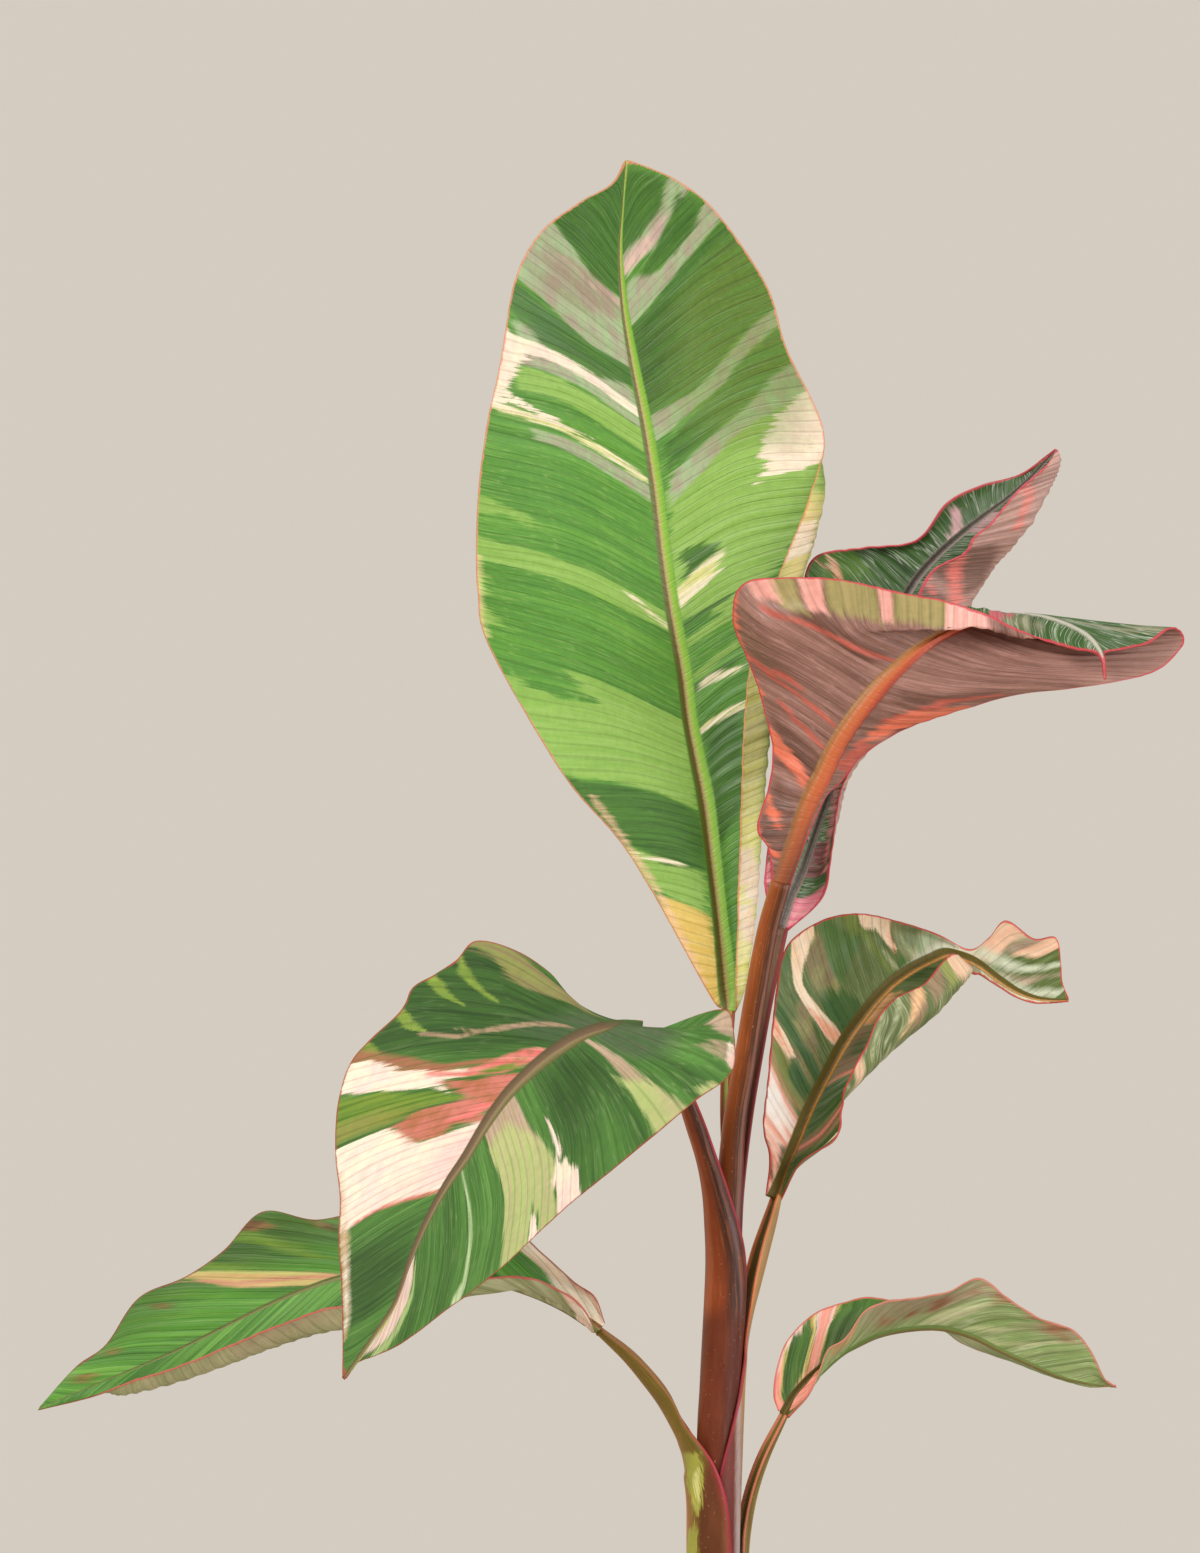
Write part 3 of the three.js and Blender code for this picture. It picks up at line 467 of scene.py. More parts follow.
def leafMaterial(leaf, side):
    look = leaf[side]
    material, tree = newMaterial(f"{leaf['name']} {side} skin")
    arc, across, edge = separated(tree, attribute(tree, "leafPlace").outputs["Vector"])
    across = calc(tree, "ADD", across, leaf["seed"] * 40.0)
    streakPlace = together(tree, arc, calc(tree, "MULTIPLY", across, skin["drawnOut"]))
    flatPlace = together(tree, arc, across)
    wide = noiseAt(tree, streakPlace, skin["wide"], 3.0, 0.55)
    streak = noiseAt(tree, streakPlace, skin["streak"], 3.0, 0.6)
    fine = noiseAt(tree, streakPlace, skin["fine"], 2.0, 0.6)
    blotch = noiseAt(tree, flatPlace, skin["blotch"], 4.0, 0.65)
    cloud = noiseAt(tree, flatPlace, skin["cloud"], 4.0, 0.6)
    freckle = noiseAt(tree, flatPlace, skin["freckle"], 3.0, 0.7)
    tone = blended(tree, wide, 0.55, streak, 0.45)
    color = ramp(tree, remap(tree, tone, 0.32, 0.68), look["base"])
    ragged = blended(tree, streak, 0.7, fine, 0.3)
    threads = noiseAt(tree, streakPlace, skin["threads"], 1.0, 0.5)
    offLine = calc(tree, "ABSOLUTE", calc(tree, "SUBTRACT", threads, 0.5))
    vein = remap(tree, offLine, 0.0, 0.035, 1.0, 0.0)
    color = mixColor(tree, calc(tree, "MULTIPLY", vein, look["veinShow"]), color, paint(look["vein"]))
    for k, (mark, drawnOn) in enumerate(marksOf(leaf, side)):
        ends = {**markDefaults, **mark}
        field = attribute(tree, f"mark{k}").outputs["Fac"]
        jag = swing(tree, ragged, ends["jag"])
        spots = swing(tree, freckle, ends["mottle"])
        value = calc(tree, "ADD", calc(tree, "ADD", field, jag), spots)
        cover = ends["cover"] * (look["through"] if drawnOn != side else 1)
        factor = remap(tree, value, -ends["soft"], ends["soft"], 0.0, cover)
        tint = paint(mark["colors"][0])
        if len(mark["colors"]) > 1:
            source = cloud if mark.get("by") == "cloud" else streak
            blend = remap(tree, source, 0.4, 0.6)
            tint = mixColor(tree, blend, tint, paint(mark["colors"][1]))
        color = mixColor(tree, factor, color, tint)
    color = mixColor(tree, calc(tree, "MULTIPLY", vein, look["veinShow"] * 0.3), color, paint(look["vein"]))
    # Painted shade: the colour is darkened along the furrows between the veins, where shade falls; the same
    # furrows are also bumped.
    bend = swing(tree, wide, 9.0)
    phase = calc(tree, "ADD", calc(tree, "MULTIPLY", arc, 2 * math.pi / blade["furrowSpacing"]), bend)
    furrowAndShade = remap(tree, calc(tree, "SINE", phase), 0.72, 1.0)
    shade = remap(tree, blotch, 0.25, 0.75, 0.9, 1.1)
    shade = calc(tree, "MULTIPLY", shade, remap(tree, furrowAndShade, 0.0, 1.0, 1.02, 1 - look.get("furrowAndShade", 0.16)))
    color = scaled(tree, color, shade)
    rib = attribute(tree, "ribPlace").outputs["Fac"]
    ribTone = calc(tree, "ADD", rib, swing(tree, fine, 0.5))
    ribColor = ramp(tree, remap(tree, ribTone, -1.0, 1.0), look["rib"])
    if "foot" in look:
        footColor = ramp(tree, remap(tree, ribTone, -1.0, 1.0), look["foot"])
        ribColor = mixColor(tree, remap(tree, arc, 4.0, look["footLength"]), footColor, ribColor)
    ribMask = remap(tree, calc(tree, "ABSOLUTE", rib), 0.85, 1.08, 1.0, 0.0)
    color = mixColor(tree, ribMask, color, ribColor)
    marginWide = calc(tree, "ADD", edge, swing(tree, streak, 1.6))
    marginWidth = look.get("marginWidth", 0.3)
    marginMask = remap(tree, marginWide, marginWidth, marginWidth + 0.5, 0.85, 0.0)
    color = mixColor(tree, marginMask, color, paint(look["margin"]))
    ribbed = calc(tree, "SUBTRACT", calc(tree, "MULTIPLY", vein, 0.5), furrowAndShade)
    rough = blended(tree, fine, 0.5, freckle, 0.15)
    height = calc(tree, "ADD", ribbed, rough)
    gloss = remap(tree, blotch, 0.3, 0.7, look["gloss"], look["gloss"] + 0.14)
    closeMaterial(tree, color, gloss, height, 0.35, 0.0003, look.get("glow", 0.18), leaf.get("shine", 0.5))
    return material


# The seven leaves. Rows run from foot to tip. Each has a point of the midrib, then the
# points of the left and of the right half of the vein that crosses it there.

leafA = {
    "name": "leaf_a", "slot": "blade_green", "facing": 1, "seed": 1.3, "ribWidth": 3.0, "ribHeight": 2.6,
    "ribShow": 4.3,
    "upper": {"base": [(0, (72, 130, 42)), (0.4, tones["mid"]), (0.7, (94, 156, 52)),
        (1, (116, 172, 66))], "vein": (150, 190, 96), "veinShow": 0.3, "margin": (232, 150, 116),
        # The midrib's stripes are partly its own colours, with a pinkish cream middle. They are also painted
        # light and shade: the left wall is olive-brown as shade, and the right wall is lime as lit.
        "gloss": 0.36, "rib": [(0, (90, 140, 44)), (0.14, (104, 112, 44)), (0.34, (112, 98, 46)),
        (0.46, (196, 168, 120)), (0.56, (170, 190, 90)), (0.7, (148, 196, 64)), (0.9, (128, 182, 58)),
        (1, (100, 158, 50))]},
    "upperMarks": [
        {"colors": [tones["light"], (138, 182, 78)], "jag": 9,
         "left": [[(-88, 556), (-70, 545), (-60, 541), (-50, 541), (-62, 553), (-45, 548), (-13, 534),
          (-8, 497), (-20, 503), (-55, 510), (-68, 517)], [(-95, 611), (-60, 597), (-20, 576), (-18, 567),
          (-60, 588), (-95, 600)], [(-80, 676), (-60, 668), (-31, 650), (-29, 640), (-60, 660), (-80, 666)],
          [(-38, 485), (-5, 471), (-3, 455), (-22, 462)], [(-96, 631), (-74, 615), (-76, 611), (-84, 616),
          (-96, 609)], [(-97, 594), (-92, 590), (-91, 584), (-97, 584)], [(-97, 579), (-91, 577),
          (-88, 571), (-91, 566), (-97, 568)]],
         "right": [[(-20, 631), (0, 642), (20, 657), (31, 672), (43, 634), (30, 600), (12, 575),
          (-13, 578)], [(-8, 566, 2), (8, 578, 2)], [(-6, 552, 1.6), (8, 562, 1.2)]]},
        {"colors": [tones["sage"], tones["mauve"]], "by": "cloud",
         "left": [[(-60, 737), (-57, 722), (-50, 711), (-38, 703), (-35, 674), (-50, 684), (-74, 706),
          (-79, 713)], [(-80, 692), (-36, 667), (-31, 650), (-80, 676)], [(-72, 650), (-27, 626),
          (-25, 620), (-74, 645)]],
         "right": [[(-37, 721), (-22, 739), (-20, 750), (-15, 748), (-18, 733), (-25, 722), (-35, 712)],
          [(-35, 710), (-22, 714), (-8, 733), (-6, 740), (-1, 735), (-33, 690)], [(-26, 655), (-10, 665),
          (5, 678), (14, 690), (19, 705), (22, 698), (15, 682), (5, 668), (-23, 644)], [(-20, 631),
          (10, 657), (22, 672), (27, 684), (31, 672), (20, 655), (-18, 621)]]},
        {"colors": [tones["dark"], (74, 124, 42)], "jag": 7,
         "left": [[(-36, 757), (-60, 737), (-57, 722), (-50, 711), (-38, 703)], [(-80, 713), (-50, 684),
          (-35, 674), (-34, 669), (-50, 673), (-70, 684), (-81, 697)], [(-68, 517), (-55, 509), (-20, 502),
          (-7, 496), (-3, 472), (-20, 475), (-30, 481), (-44, 492)]],
         "right": [[(-36, 757), (-20, 749), (-22, 738), (-30, 727), (-38, 721)], [(-32, 712), (-24, 722),
          (-18, 733), (-15, 747), (-6, 739), (-9, 731), (-17, 720), (-26, 711)], [(-34, 689), (-1, 735),
          (20, 703), (14, 690), (5, 678), (-10, 665), (-26, 655)], [(-22, 643), (5, 668), (15, 682),
          (22, 697), (28, 682), (22, 672), (10, 657), (-20, 632)], [(-15, 602), (2, 605), (0, 598),
          (-14, 586)], [(-4, 529), (12, 537), (12, 500), (0, 470)], [(-12, 571, 1.2), (6, 583, 1)],
          [(-8, 545, 1.5), (8, 556, 1)]]},
        {"colors": [(64, 92, 38), tones["dark"]], "by": "cloud", "cover": 0.6, "soft": 3,
         "right": [[(-33, 688), (-18, 702), (0, 700), (2, 684), (-12, 668), (-28, 660)]]},
        {"colors": [tones["straw"], tones["cream"]], "jag": 7,
         "left": [[(-90, 664), (-29, 632), (-27, 626), (-88, 657)], [(-34, 581, 0.8), (-19, 571, 0.9)],
          [(-32, 479, 0.8), (-16, 476, 0.8)]],
         "right": [[(-14, 585), (-4, 596), (4, 601), (1, 592), (-13, 577)], [(-5, 531, 1.2),
          (12, 539, 1.2)], [(-4, 549, 0.9), (9, 554, 0.7)]]},
        {"colors": [tones["cream"], (252, 228, 212)], "by": "cloud", "cover": 0.97, "jag": 7, "soft": 0.3,
         "left": [[(-82, 697), (-78, 688), (-32, 657), (-32, 654), (-76, 679), (-81, 672), (-86, 660),
          (-94, 657)], [(-86, 664, 1), (-70, 654, 0.8), (-50, 645, 0.5)]],
         "right": [[(31, 676), (30, 662), (22, 652), (17, 641), (21, 634), (15, 627), (44, 642),
          (46, 660)]]},
        {"colors": [(236, 196, 188), (206, 170, 168)], "by": "cloud", "cover": 0.8, "soft": 0.8,
         "left": [[(-60, 718, 0.5), (-50, 708, 0.8), (-39, 700, 0.9)]],
         "right": [[(-36, 716, 2), (-28, 723, 2), (-22, 732, 1)]]},
        {"colors": [tones["gold"], (238, 208, 120)], "soft": 0.7,
         "left": [[(-22, 462), (-3, 455), (3, 420), (-6, 418)]]},
        {"colors": [(226, 214, 150)], "jag": 2,
         "left": [[(-95, 600, 0.3), (-94, 578, 0.3), (-91, 567, 0.3)]]},
        {"colors": [(244, 200, 164)], "cover": 0.85, "jag": 3,
         "left": [[(-50, 503, 0.2), (-20, 458, 0.35), (-5, 426, 0.3)]]},
        {"colors": [(118, 140, 50), (106, 146, 60)], "cover": 0.5, "soft": 3,
         "right": [[(-18, 700), (0, 724), (14, 724), (30, 690), (30, 640), (0, 640), (-22, 660)]]},
        {"colors": [(150, 128, 110), (164, 142, 122)], "cover": 0.5, "soft": 1.5,
         "left": [[(-76, 708), (-64, 722), (-46, 710), (-38, 698), (-50, 696), (-66, 700)]]},
    ],
    "under": {"base": [(0, (128, 162, 70)), (0.5, (154, 184, 90)), (1, (180, 200, 114))],
        "through": 0.5, "vein": (212, 222, 150), "veinShow": 0.35, "margin": (220, 150, 96), "gloss": 0.5,
        "rib": [(0, (160, 176, 84)), (0.5, (190, 196, 110)), (1, (150, 176, 84))]},
    "underMarks": [
        # The rolled underside's own pale lime, brightened here to pale yellow and cream as painted light and
        # painted highlight.
        {"colors": [(240, 234, 134), (255, 246, 180)], "cover": 0.9, "jag": 2, "soft": 1.5,
         "right": [[(12, 560), (6, 540), (-2, 440), (-2, 415), (14, 415), (24, 470), (24, 520),
          (22, 556)]]},
        {"colors": [(250, 214, 160), (230, 216, 120)], "cover": 0.85, "jag": 2, "soft": 1.5,
         "right": [[(24, 570), (34, 640), (36, 668), (56, 668), (52, 620), (44, 580)]]},
        {"colors": [tones["cream"], tones["peach"]], "by": "cloud",
         "right": [[(9, 480, 1.4), (18, 462, 1.4)], [(8, 458, 1.2), (15, 446, 1.2)], [(40, 600), (26, 590),
          (28, 604), (38, 614)]]},
    ],
    "rows": [
        [[5.2, 3.5, 417], [[2.4, 3.5, 417.6]], [[8, 3.5, 416.4]]],
        [[4.6, 5, 426], [[-2.5, 4, 423]], [[8, 6, 427], [12, 4, 429], [7.8, 0, 428]]],
        [[2, 8, 451], [[-9, 5, 455], [-22.5, 2, 459]], [[7, 9, 455], [16, 7, 459], [8.6, 0, 456]]],
        [[-1, 11, 476], [[-17, 7, 482], [-38, 3, 484]], [[8, 12, 483], [18, 8, 488], [9.6, 0, 484]]],
        [[-4, 14, 500], [[-30, 9, 506], [-58, 3, 507]], [[8, 14, 508], [20, 9, 513], [10.6, 0, 509]]],
        [[-7, 16, 515], [[-38, 11, 526], [-73, 3, 530.5]], [[6, 16, 526], [22, 10, 533], [11, 0, 528]]],
        [[-10.4, 17.5, 532.4], [[-48, 12, 551], [-91.8, 4, 565]], [[6, 17, 546], [26, 12, 556],
         [13, 3, 551]]],
        [[-13, 19, 552], [[-52, 13, 571], [-95.2, 4, 583]], [[10, 18, 566], [31, 13, 576], [18, 6, 571]]],
        [[-17.6, 20.5, 577], [[-56, 14, 597], [-96, 5, 605]], [[8, 19, 594], [38, 14, 603],
         [28.6, 8, 600]]],
        [[-21, 21.5, 600], [[-58, 15, 619], [-94.8, 5, 628]], [[9, 20, 617], [42.5, 14, 622],
         [37, 10.5, 622]]],
        [[-24, 22, 625], [[-58, 16, 643], [-91.6, 6, 652]], [[12, 20, 646], [43.2, 14, 648]]],
        [[-28, 22, 650], [[-58, 16, 668], [-86.5, 7, 675]], [[6, 20, 672], [28.3, 13, 682]]],
        [[-33, 21.5, 675], [[-60, 16, 694], [-80.8, 9, 708]], [[-4, 19, 697], [19.8, 13, 708]]],
        [[-36.7, 20, 697], [[-55, 16, 716], [-70.4, 10, 728]], [[-16, 18, 720], [0, 13, 736.5]]],
        [[-38.3, 17.5, 719], [[-47, 15, 732], [-55, 11, 740]], [[-28, 16, 737], [-14.5, 13, 748.5]]],
        [[-37.3, 15, 738], [[-39.5, 13.5, 746], [-42, 12, 747.6]], [[-32, 13.5, 748], [-25, 12.5, 753.5]]],
        [[-35.8, 12, 757], [[-36.6, 12, 756.8]], [[-35, 12, 757.2]]],
    ],
}


leafB = {
    "name": "leaf_b", "slot": "blade_red", "facing": -1, "seed": 2.7, "ribWidth": 4.1, "ribHeight": 3.4,
    "ribShow": 4.4,
    "upper": {"base": [(0, (44, 72, 36)), (0.5, (58, 94, 42)), (1, (84, 118, 62))],
        "vein": (206, 214, 198), "veinShow": 0.7, "margin": (206, 52, 72), "marginWidth": 0.9,
        "gloss": 0.34, "rib": [(0, (110, 120, 92)), (0.35, (196, 196, 180)), (0.65, (196, 196, 180)),
        (1, (110, 120, 92))]},
    "upperMarks": [
        {"colors": [(136, 138, 104), (176, 170, 146)], "cover": 0.7, "soft": 1,
         "left": [[(110, 576), (120, 575), (132, 570), (120, 568), (112, 571)]],
         "right": [[(140, 573, 1.6), (160, 569, 1.4), (182, 568, 1.2)]]},
        {"colors": [(206, 92, 108)], "cover": 0.85,
         "left": [[(110, 575, 1), (118, 575, 0.8)]]},
    ],
    "under": {"base": [(0, (108, 72, 60)), (0.35, (136, 96, 84)), (0.65, (158, 114, 102)),
        (1, (184, 138, 128))], "vein": (204, 156, 144), "veinShow": 0.3, "margin": (214, 70, 84),
        "marginWidth": 0.7, "gloss": 0.36, "rib": [(0, (150, 116, 60)), (0.16, (176, 116, 64)),
        (0.45, (204, 106, 56)), (0.8, (208, 92, 62)), (1, (150, 62, 48))], "foot": [(0, (146, 108, 84)),
        (0.3, (166, 92, 52)), (0.6, (140, 72, 40)), (1, (104, 58, 44))], "footLength": 42},
    "underMarks": [
        # Dark marks: the underside's own dark streaks, and along the lower edge of the rolled band a painted
        # shadow.
        {"colors": [(96, 64, 52), (120, 78, 64)], "cover": 0.8, "jag": 7, "soft": 0.8,
         "left": [[(16, 482), (28, 486), (34, 504), (24, 508), (18, 495)], [(24, 516), (36, 506), (43, 516),
          (22, 536)], [(15, 590), (44, 566), (62, 556), (70, 560), (44, 574), (24, 588)]],
         "right": [[(62, 520), (80, 532), (76, 536), (66, 530)], [(70, 540), (100, 541), (118, 545),
          (74, 546)]]},
        {"colors": [(150, 142, 84), (172, 156, 100)], "soft": 0.7,
         "left": [[(24, 592), (36, 592), (37, 576), (26, 578)], [(46, 592), (64, 590), (66, 572),
          (46, 575)], [(71, 588), (96, 584), (97, 570), (71, 572)]]},
        {"colors": [(214, 102, 84), (190, 92, 76)],
         "left": [[(12, 561, 0.5), (24, 550, 0.8), (47, 532, 0.8)], [(26, 540, 0.5), (34, 531, 0.8),
          (42, 523, 0.6)], [(18, 578, 0.5), (54, 562, 0.9), (72, 557, 0.5)], [(24, 553, 0.6), (29, 550, 1),
          (33, 547, 0.5)]],
         "right": [[(44, 500), (52, 512), (62, 523), (58, 526), (48, 516)], [(68, 533, 0.9), (92, 541, 1),
          (112, 543, 0.8)]]},
        {"colors": [(242, 136, 108), (240, 118, 84)],
         "left": [[(7, 576, 0.3), (17, 542, 0.4)], [(14, 552), (39, 508), (35, 505.6), (28, 515), (21, 528),
          (15, 542)], [(20, 504, 0.3), (22, 497, 0.4), (26, 489, 0.3)], [(16, 490, 0.4), (20, 482, 0.5),
          (26, 478, 0.5)], [(6, 586, 0.3), (7, 578, 0.4)]],
         "right": [[(56, 524), (64, 530), (78, 537), (98, 539), (98, 535), (80, 532), (64, 525)]]},
        {"colors": [(232, 158, 146), (240, 178, 164)], "jag": 3,
         "left": [[(14, 592), (24, 592), (26, 579), (16, 583)], [(36, 592), (46, 592), (46, 575),
          (38, 577)], [(64, 590), (71, 588), (71, 572), (66, 573)]]},
        {"colors": [(246, 196, 184), (240, 168, 160)], "jag": 3,
         "left": [[(96, 584), (122, 574), (136, 566), (124, 565), (96, 571)], [(130, 566, 0.7),
          (145, 562, 0.5)]]},
        # Painted highlight: a rosy sheen laid on the right half of the underside.
        {"colors": [(190, 146, 134), (176, 130, 118)], "cover": 0.6, "soft": 2,
         "right": [[(126, 563), (190, 572), (190, 550), (126, 545)]]},
    ],
    "rows": [
        [[26, -23, 468], [[22.2, -22.4, 469]], [[29.8, -22.4, 467]]],
        [[30.5, -25.5, 481], [[25, -25, 480], [21, -24, 481.5]], [[35, -24.5, 482]]],
        [[34, -27, 491], [[25, -26, 490], [16.4, -23, 490]], [[40, -24, 494]]],
        [[38, -28, 501], [[29, -26, 504], [21, -21, 507]], [[44.5, -24, 503]]],
        [[42, -29, 509], [[32, -27, 517], [22.5, -21, 522]], [[50, -23, 508.5]]],
        [[47.5, -30, 521], [[33, -29, 532], [18.5, -20, 541]], [[60, -22, 520]]],
        [[54, -31, 531.5], [[34, -31, 545], [13, -20, 557]], [[66, -24, 530], [77, -20, 530]]],
        [[61.5, -31, 541.5], [[38, -34, 556], [20, -33, 566], [7, -22, 574]], [[80, -26, 537],
         [97, -20, 537]]],
        [[67, -30.5, 548], [[45, -36, 562], [22, -35, 576], [11.6, -24, 588]], [[90, -27, 543],
         [120, -20, 543.5]]],
        [[73, -29.5, 554], [[55, -37, 563], [40, -38, 577.5], [34, -27, 590]], [[100, -27, 549],
         [145, -18, 546.5]]],
        [[80.5, -27.5, 561], [[66, -36, 567], [58, -38, 571.5], [55, -27, 588.5]], [[110, -26, 553],
         [165, -15, 549.5]]],
        [[90, -22, 567], [[80, -31, 572], [76, -37, 569.5], [75, -27, 583.8]], [[125, -22, 556],
         [178, -10, 554]]],
        [[100, -16, 571], [[94, -24, 577], [93, -34, 569.3], [93, -27, 580.6]], [[140, -17, 560],
         [186, -5, 562]]],
        [[110, -12, 574], [[106, -20, 577.5], [108, -30, 570], [108, -28, 575.5]], [[150, -10, 567],
         [187, -6, 567]]],
        [[121, -11, 576], [[119, -19, 573.5], [121, -27, 566.5], [120, -28.5, 570]], [[150, -9, 572.5],
         [182, -11, 569.8]]],
        [[134, -14, 574], [[132, -20, 570], [133, -26, 564.5]], [[155, -15, 568.5], [173, -18, 564]]],
        [[146, -19, 569], [[143, -24, 564.5], [144, -27, 561.5]], [[155, -20, 564.5], [163, -22, 561.5]]],
        [[152, -24, 563.5], [[150.5, -26, 560.3]], [[156, -25, 560]]],
        [[155, -28, 556.5], [[154.2, -28, 556.8]], [[155.8, -28, 556.2]]],
        [[155.6, -29, 549.5], [[155.1, -29, 549.5]], [[156.1, -29, 549.5]]],
    ],
}


leafC = {
    "name": "leaf_c", "slot": "blade_red", "facing": 1, "seed": 3.9, "ribWidth": 3.2, "ribHeight": 2.4,
    "ribShow": 2.3,
    "upper": {"base": [(0, (42, 68, 36)), (0.45, (58, 94, 42)), (0.8, (70, 108, 50)),
        (1, (92, 126, 74))], "vein": (214, 220, 206), "veinShow": 0.45, "margin": (206, 66, 84),
        "marginWidth": 0.8, "gloss": 0.34, "rib": [(0, (150, 140, 132)), (0.25, (84, 80, 70)),
        (0.6, (104, 94, 88)), (0.85, (168, 150, 146)), (1, (120, 110, 100))]},
    "upperMarks": [
        {"colors": [(86, 128, 50), (104, 140, 62)], "cover": 0.8, "soft": 0.8,
         "left": [[(36, 598), (60, 604), (62, 592), (50, 588), (38, 588)]]},
        {"colors": [(222, 182, 182), (206, 160, 168)],
         "left": [[(93, 605), (95, 612), (93, 618), (98, 618), (99, 610), (98, 603), (95, 602)]],
         "right": [[(104, 609, 0.8), (112, 616, 0.8)]]},
        {"colors": [(236, 140, 108), tones["peach"]],
         "left": [[(46, 598, 1), (48, 589, 0.9)], [(40, 598, 0.6), (43, 594, 0.5)]]},
        {"colors": [(98, 52, 50), (140, 62, 74)],
         "left": [[(18, 462), (22, 462), (22, 476), (18, 476)]],
         "right": [[(30, 470), (44, 474), (46, 486), (36, 484), (31, 480)]]},
        {"colors": [(228, 110, 140), (236, 150, 160)],
         "left": [[(19, 465, 0.4), (20, 476, 0.4)]],
         "right": [[(26, 450), (44, 456), (44, 468), (36, 462), (28, 462)], [(49, 506, 0.3),
          (44, 472, 0.4)]]},
    ],
    "under": {"glow": 0.08, "base": [(0, (142, 104, 94)), (0.45, (178, 138, 128)), (0.8, (198, 158, 148)),
        (1, (208, 172, 164))], "vein": (212, 172, 160), "veinShow": 0.4, "margin": (210, 66, 84),
        "marginWidth": 0.9, "gloss": 0.36, "rib": [(0, (170, 92, 50)), (0.5, (200, 128, 76)),
        (1, (170, 110, 66))]},
    "underMarks": [
        {"colors": [(100, 70, 58), (124, 88, 74)], "cover": 0.8, "soft": 0.7,
         "right": [[(84, 590), (94, 597), (94, 582), (86, 576)], [(101, 600), (112, 604), (108, 590),
          (100, 582)]]},
        {"colors": [(238, 112, 104), (242, 140, 128)],
         "right": [[(98, 599, 0.5), (95, 592, 0.7), (96, 581, 0.6)], [(86, 590, 0.3), (86, 584, 0.3)],
          [(124, 628, 0.4), (120, 609, 0.4)]]},
        {"colors": [(182, 146, 138), (196, 162, 154)], "cover": 0.7, "soft": 1.2,
         "right": [[(125, 628), (137, 641), (138, 634), (130, 612), (124, 604)]]},
    ],
    "rows": [
        [[26, 5, 450], [[22.8, 5.5, 451]], [[29.2, 4.5, 449]]],
        [[30, 7, 462], [[25, 8, 463], [19.5, 6, 466]], [[36, 5, 461], [42.5, 1, 462]]],
        [[35, 9, 473], [[27, 12, 480], [20, 10, 476]], [[42, 5, 473], [46, -1, 478]]],
        [[41, 12, 490], [[32, 16, 502], [24, 15, 510]], [[48, 6, 492], [48.5, -3, 497]]],
        [[49, 14.5, 512], [[38, 19, 530], [28, 18, 545]], [[54.5, 8, 513], [52.5, -3, 511]]],
        [[57, 16.5, 535], [[45, 21, 556], [33, 20, 572]], [[77, 9, 540], [68, -3, 538]]],
        [[66, 18, 560], [[50, 22, 585], [38, 20, 597]], [[96, 10, 569], [88, 3, 567], [76, -2, 566]]],
        [[77.6, 18, 585], [[64, 21, 598], [57, 18, 602]], [[100, 14, 588], [108, 8, 591], [84, -2, 590]]],
        [[88, 17, 598], [[82, 18, 603], [79.5, 16, 605]], [[108, 12, 600], [118, 6, 602], [99, -3, 599.5]]],
        [[99.6, 14, 608.4], [[95, 16, 616], [92, 15, 620]], [[117, 10, 609], [125, 4, 611],
         [103, -4, 606]]],
        [[108, 12, 615], [[106, 14, 623], [105.5, 13, 627]], [[122, 8, 617], [129, 3, 618],
         [109, -4, 611]]],
        [[116, 10, 621], [[116, 11, 627], [117, 11, 630]], [[128, 6, 624], [133, 2, 626],
         [115, -4, 618.5]]],
        [[125, 7, 629], [[124, 8, 631.5], [123.5, 7, 632.5]], [[132, 4, 630], [136, 1, 632],
         [124, -4, 628]]],
        [[131, 4, 635.5], [[129.5, 4.5, 637]], [[135, 2, 635.5], [137.5, -1, 637], [131.5, -4, 634.5]]],
        [[136, 1, 641.3], [[135.4, 1, 641.6]], [[136.6, 1, 641]]],
    ],
}


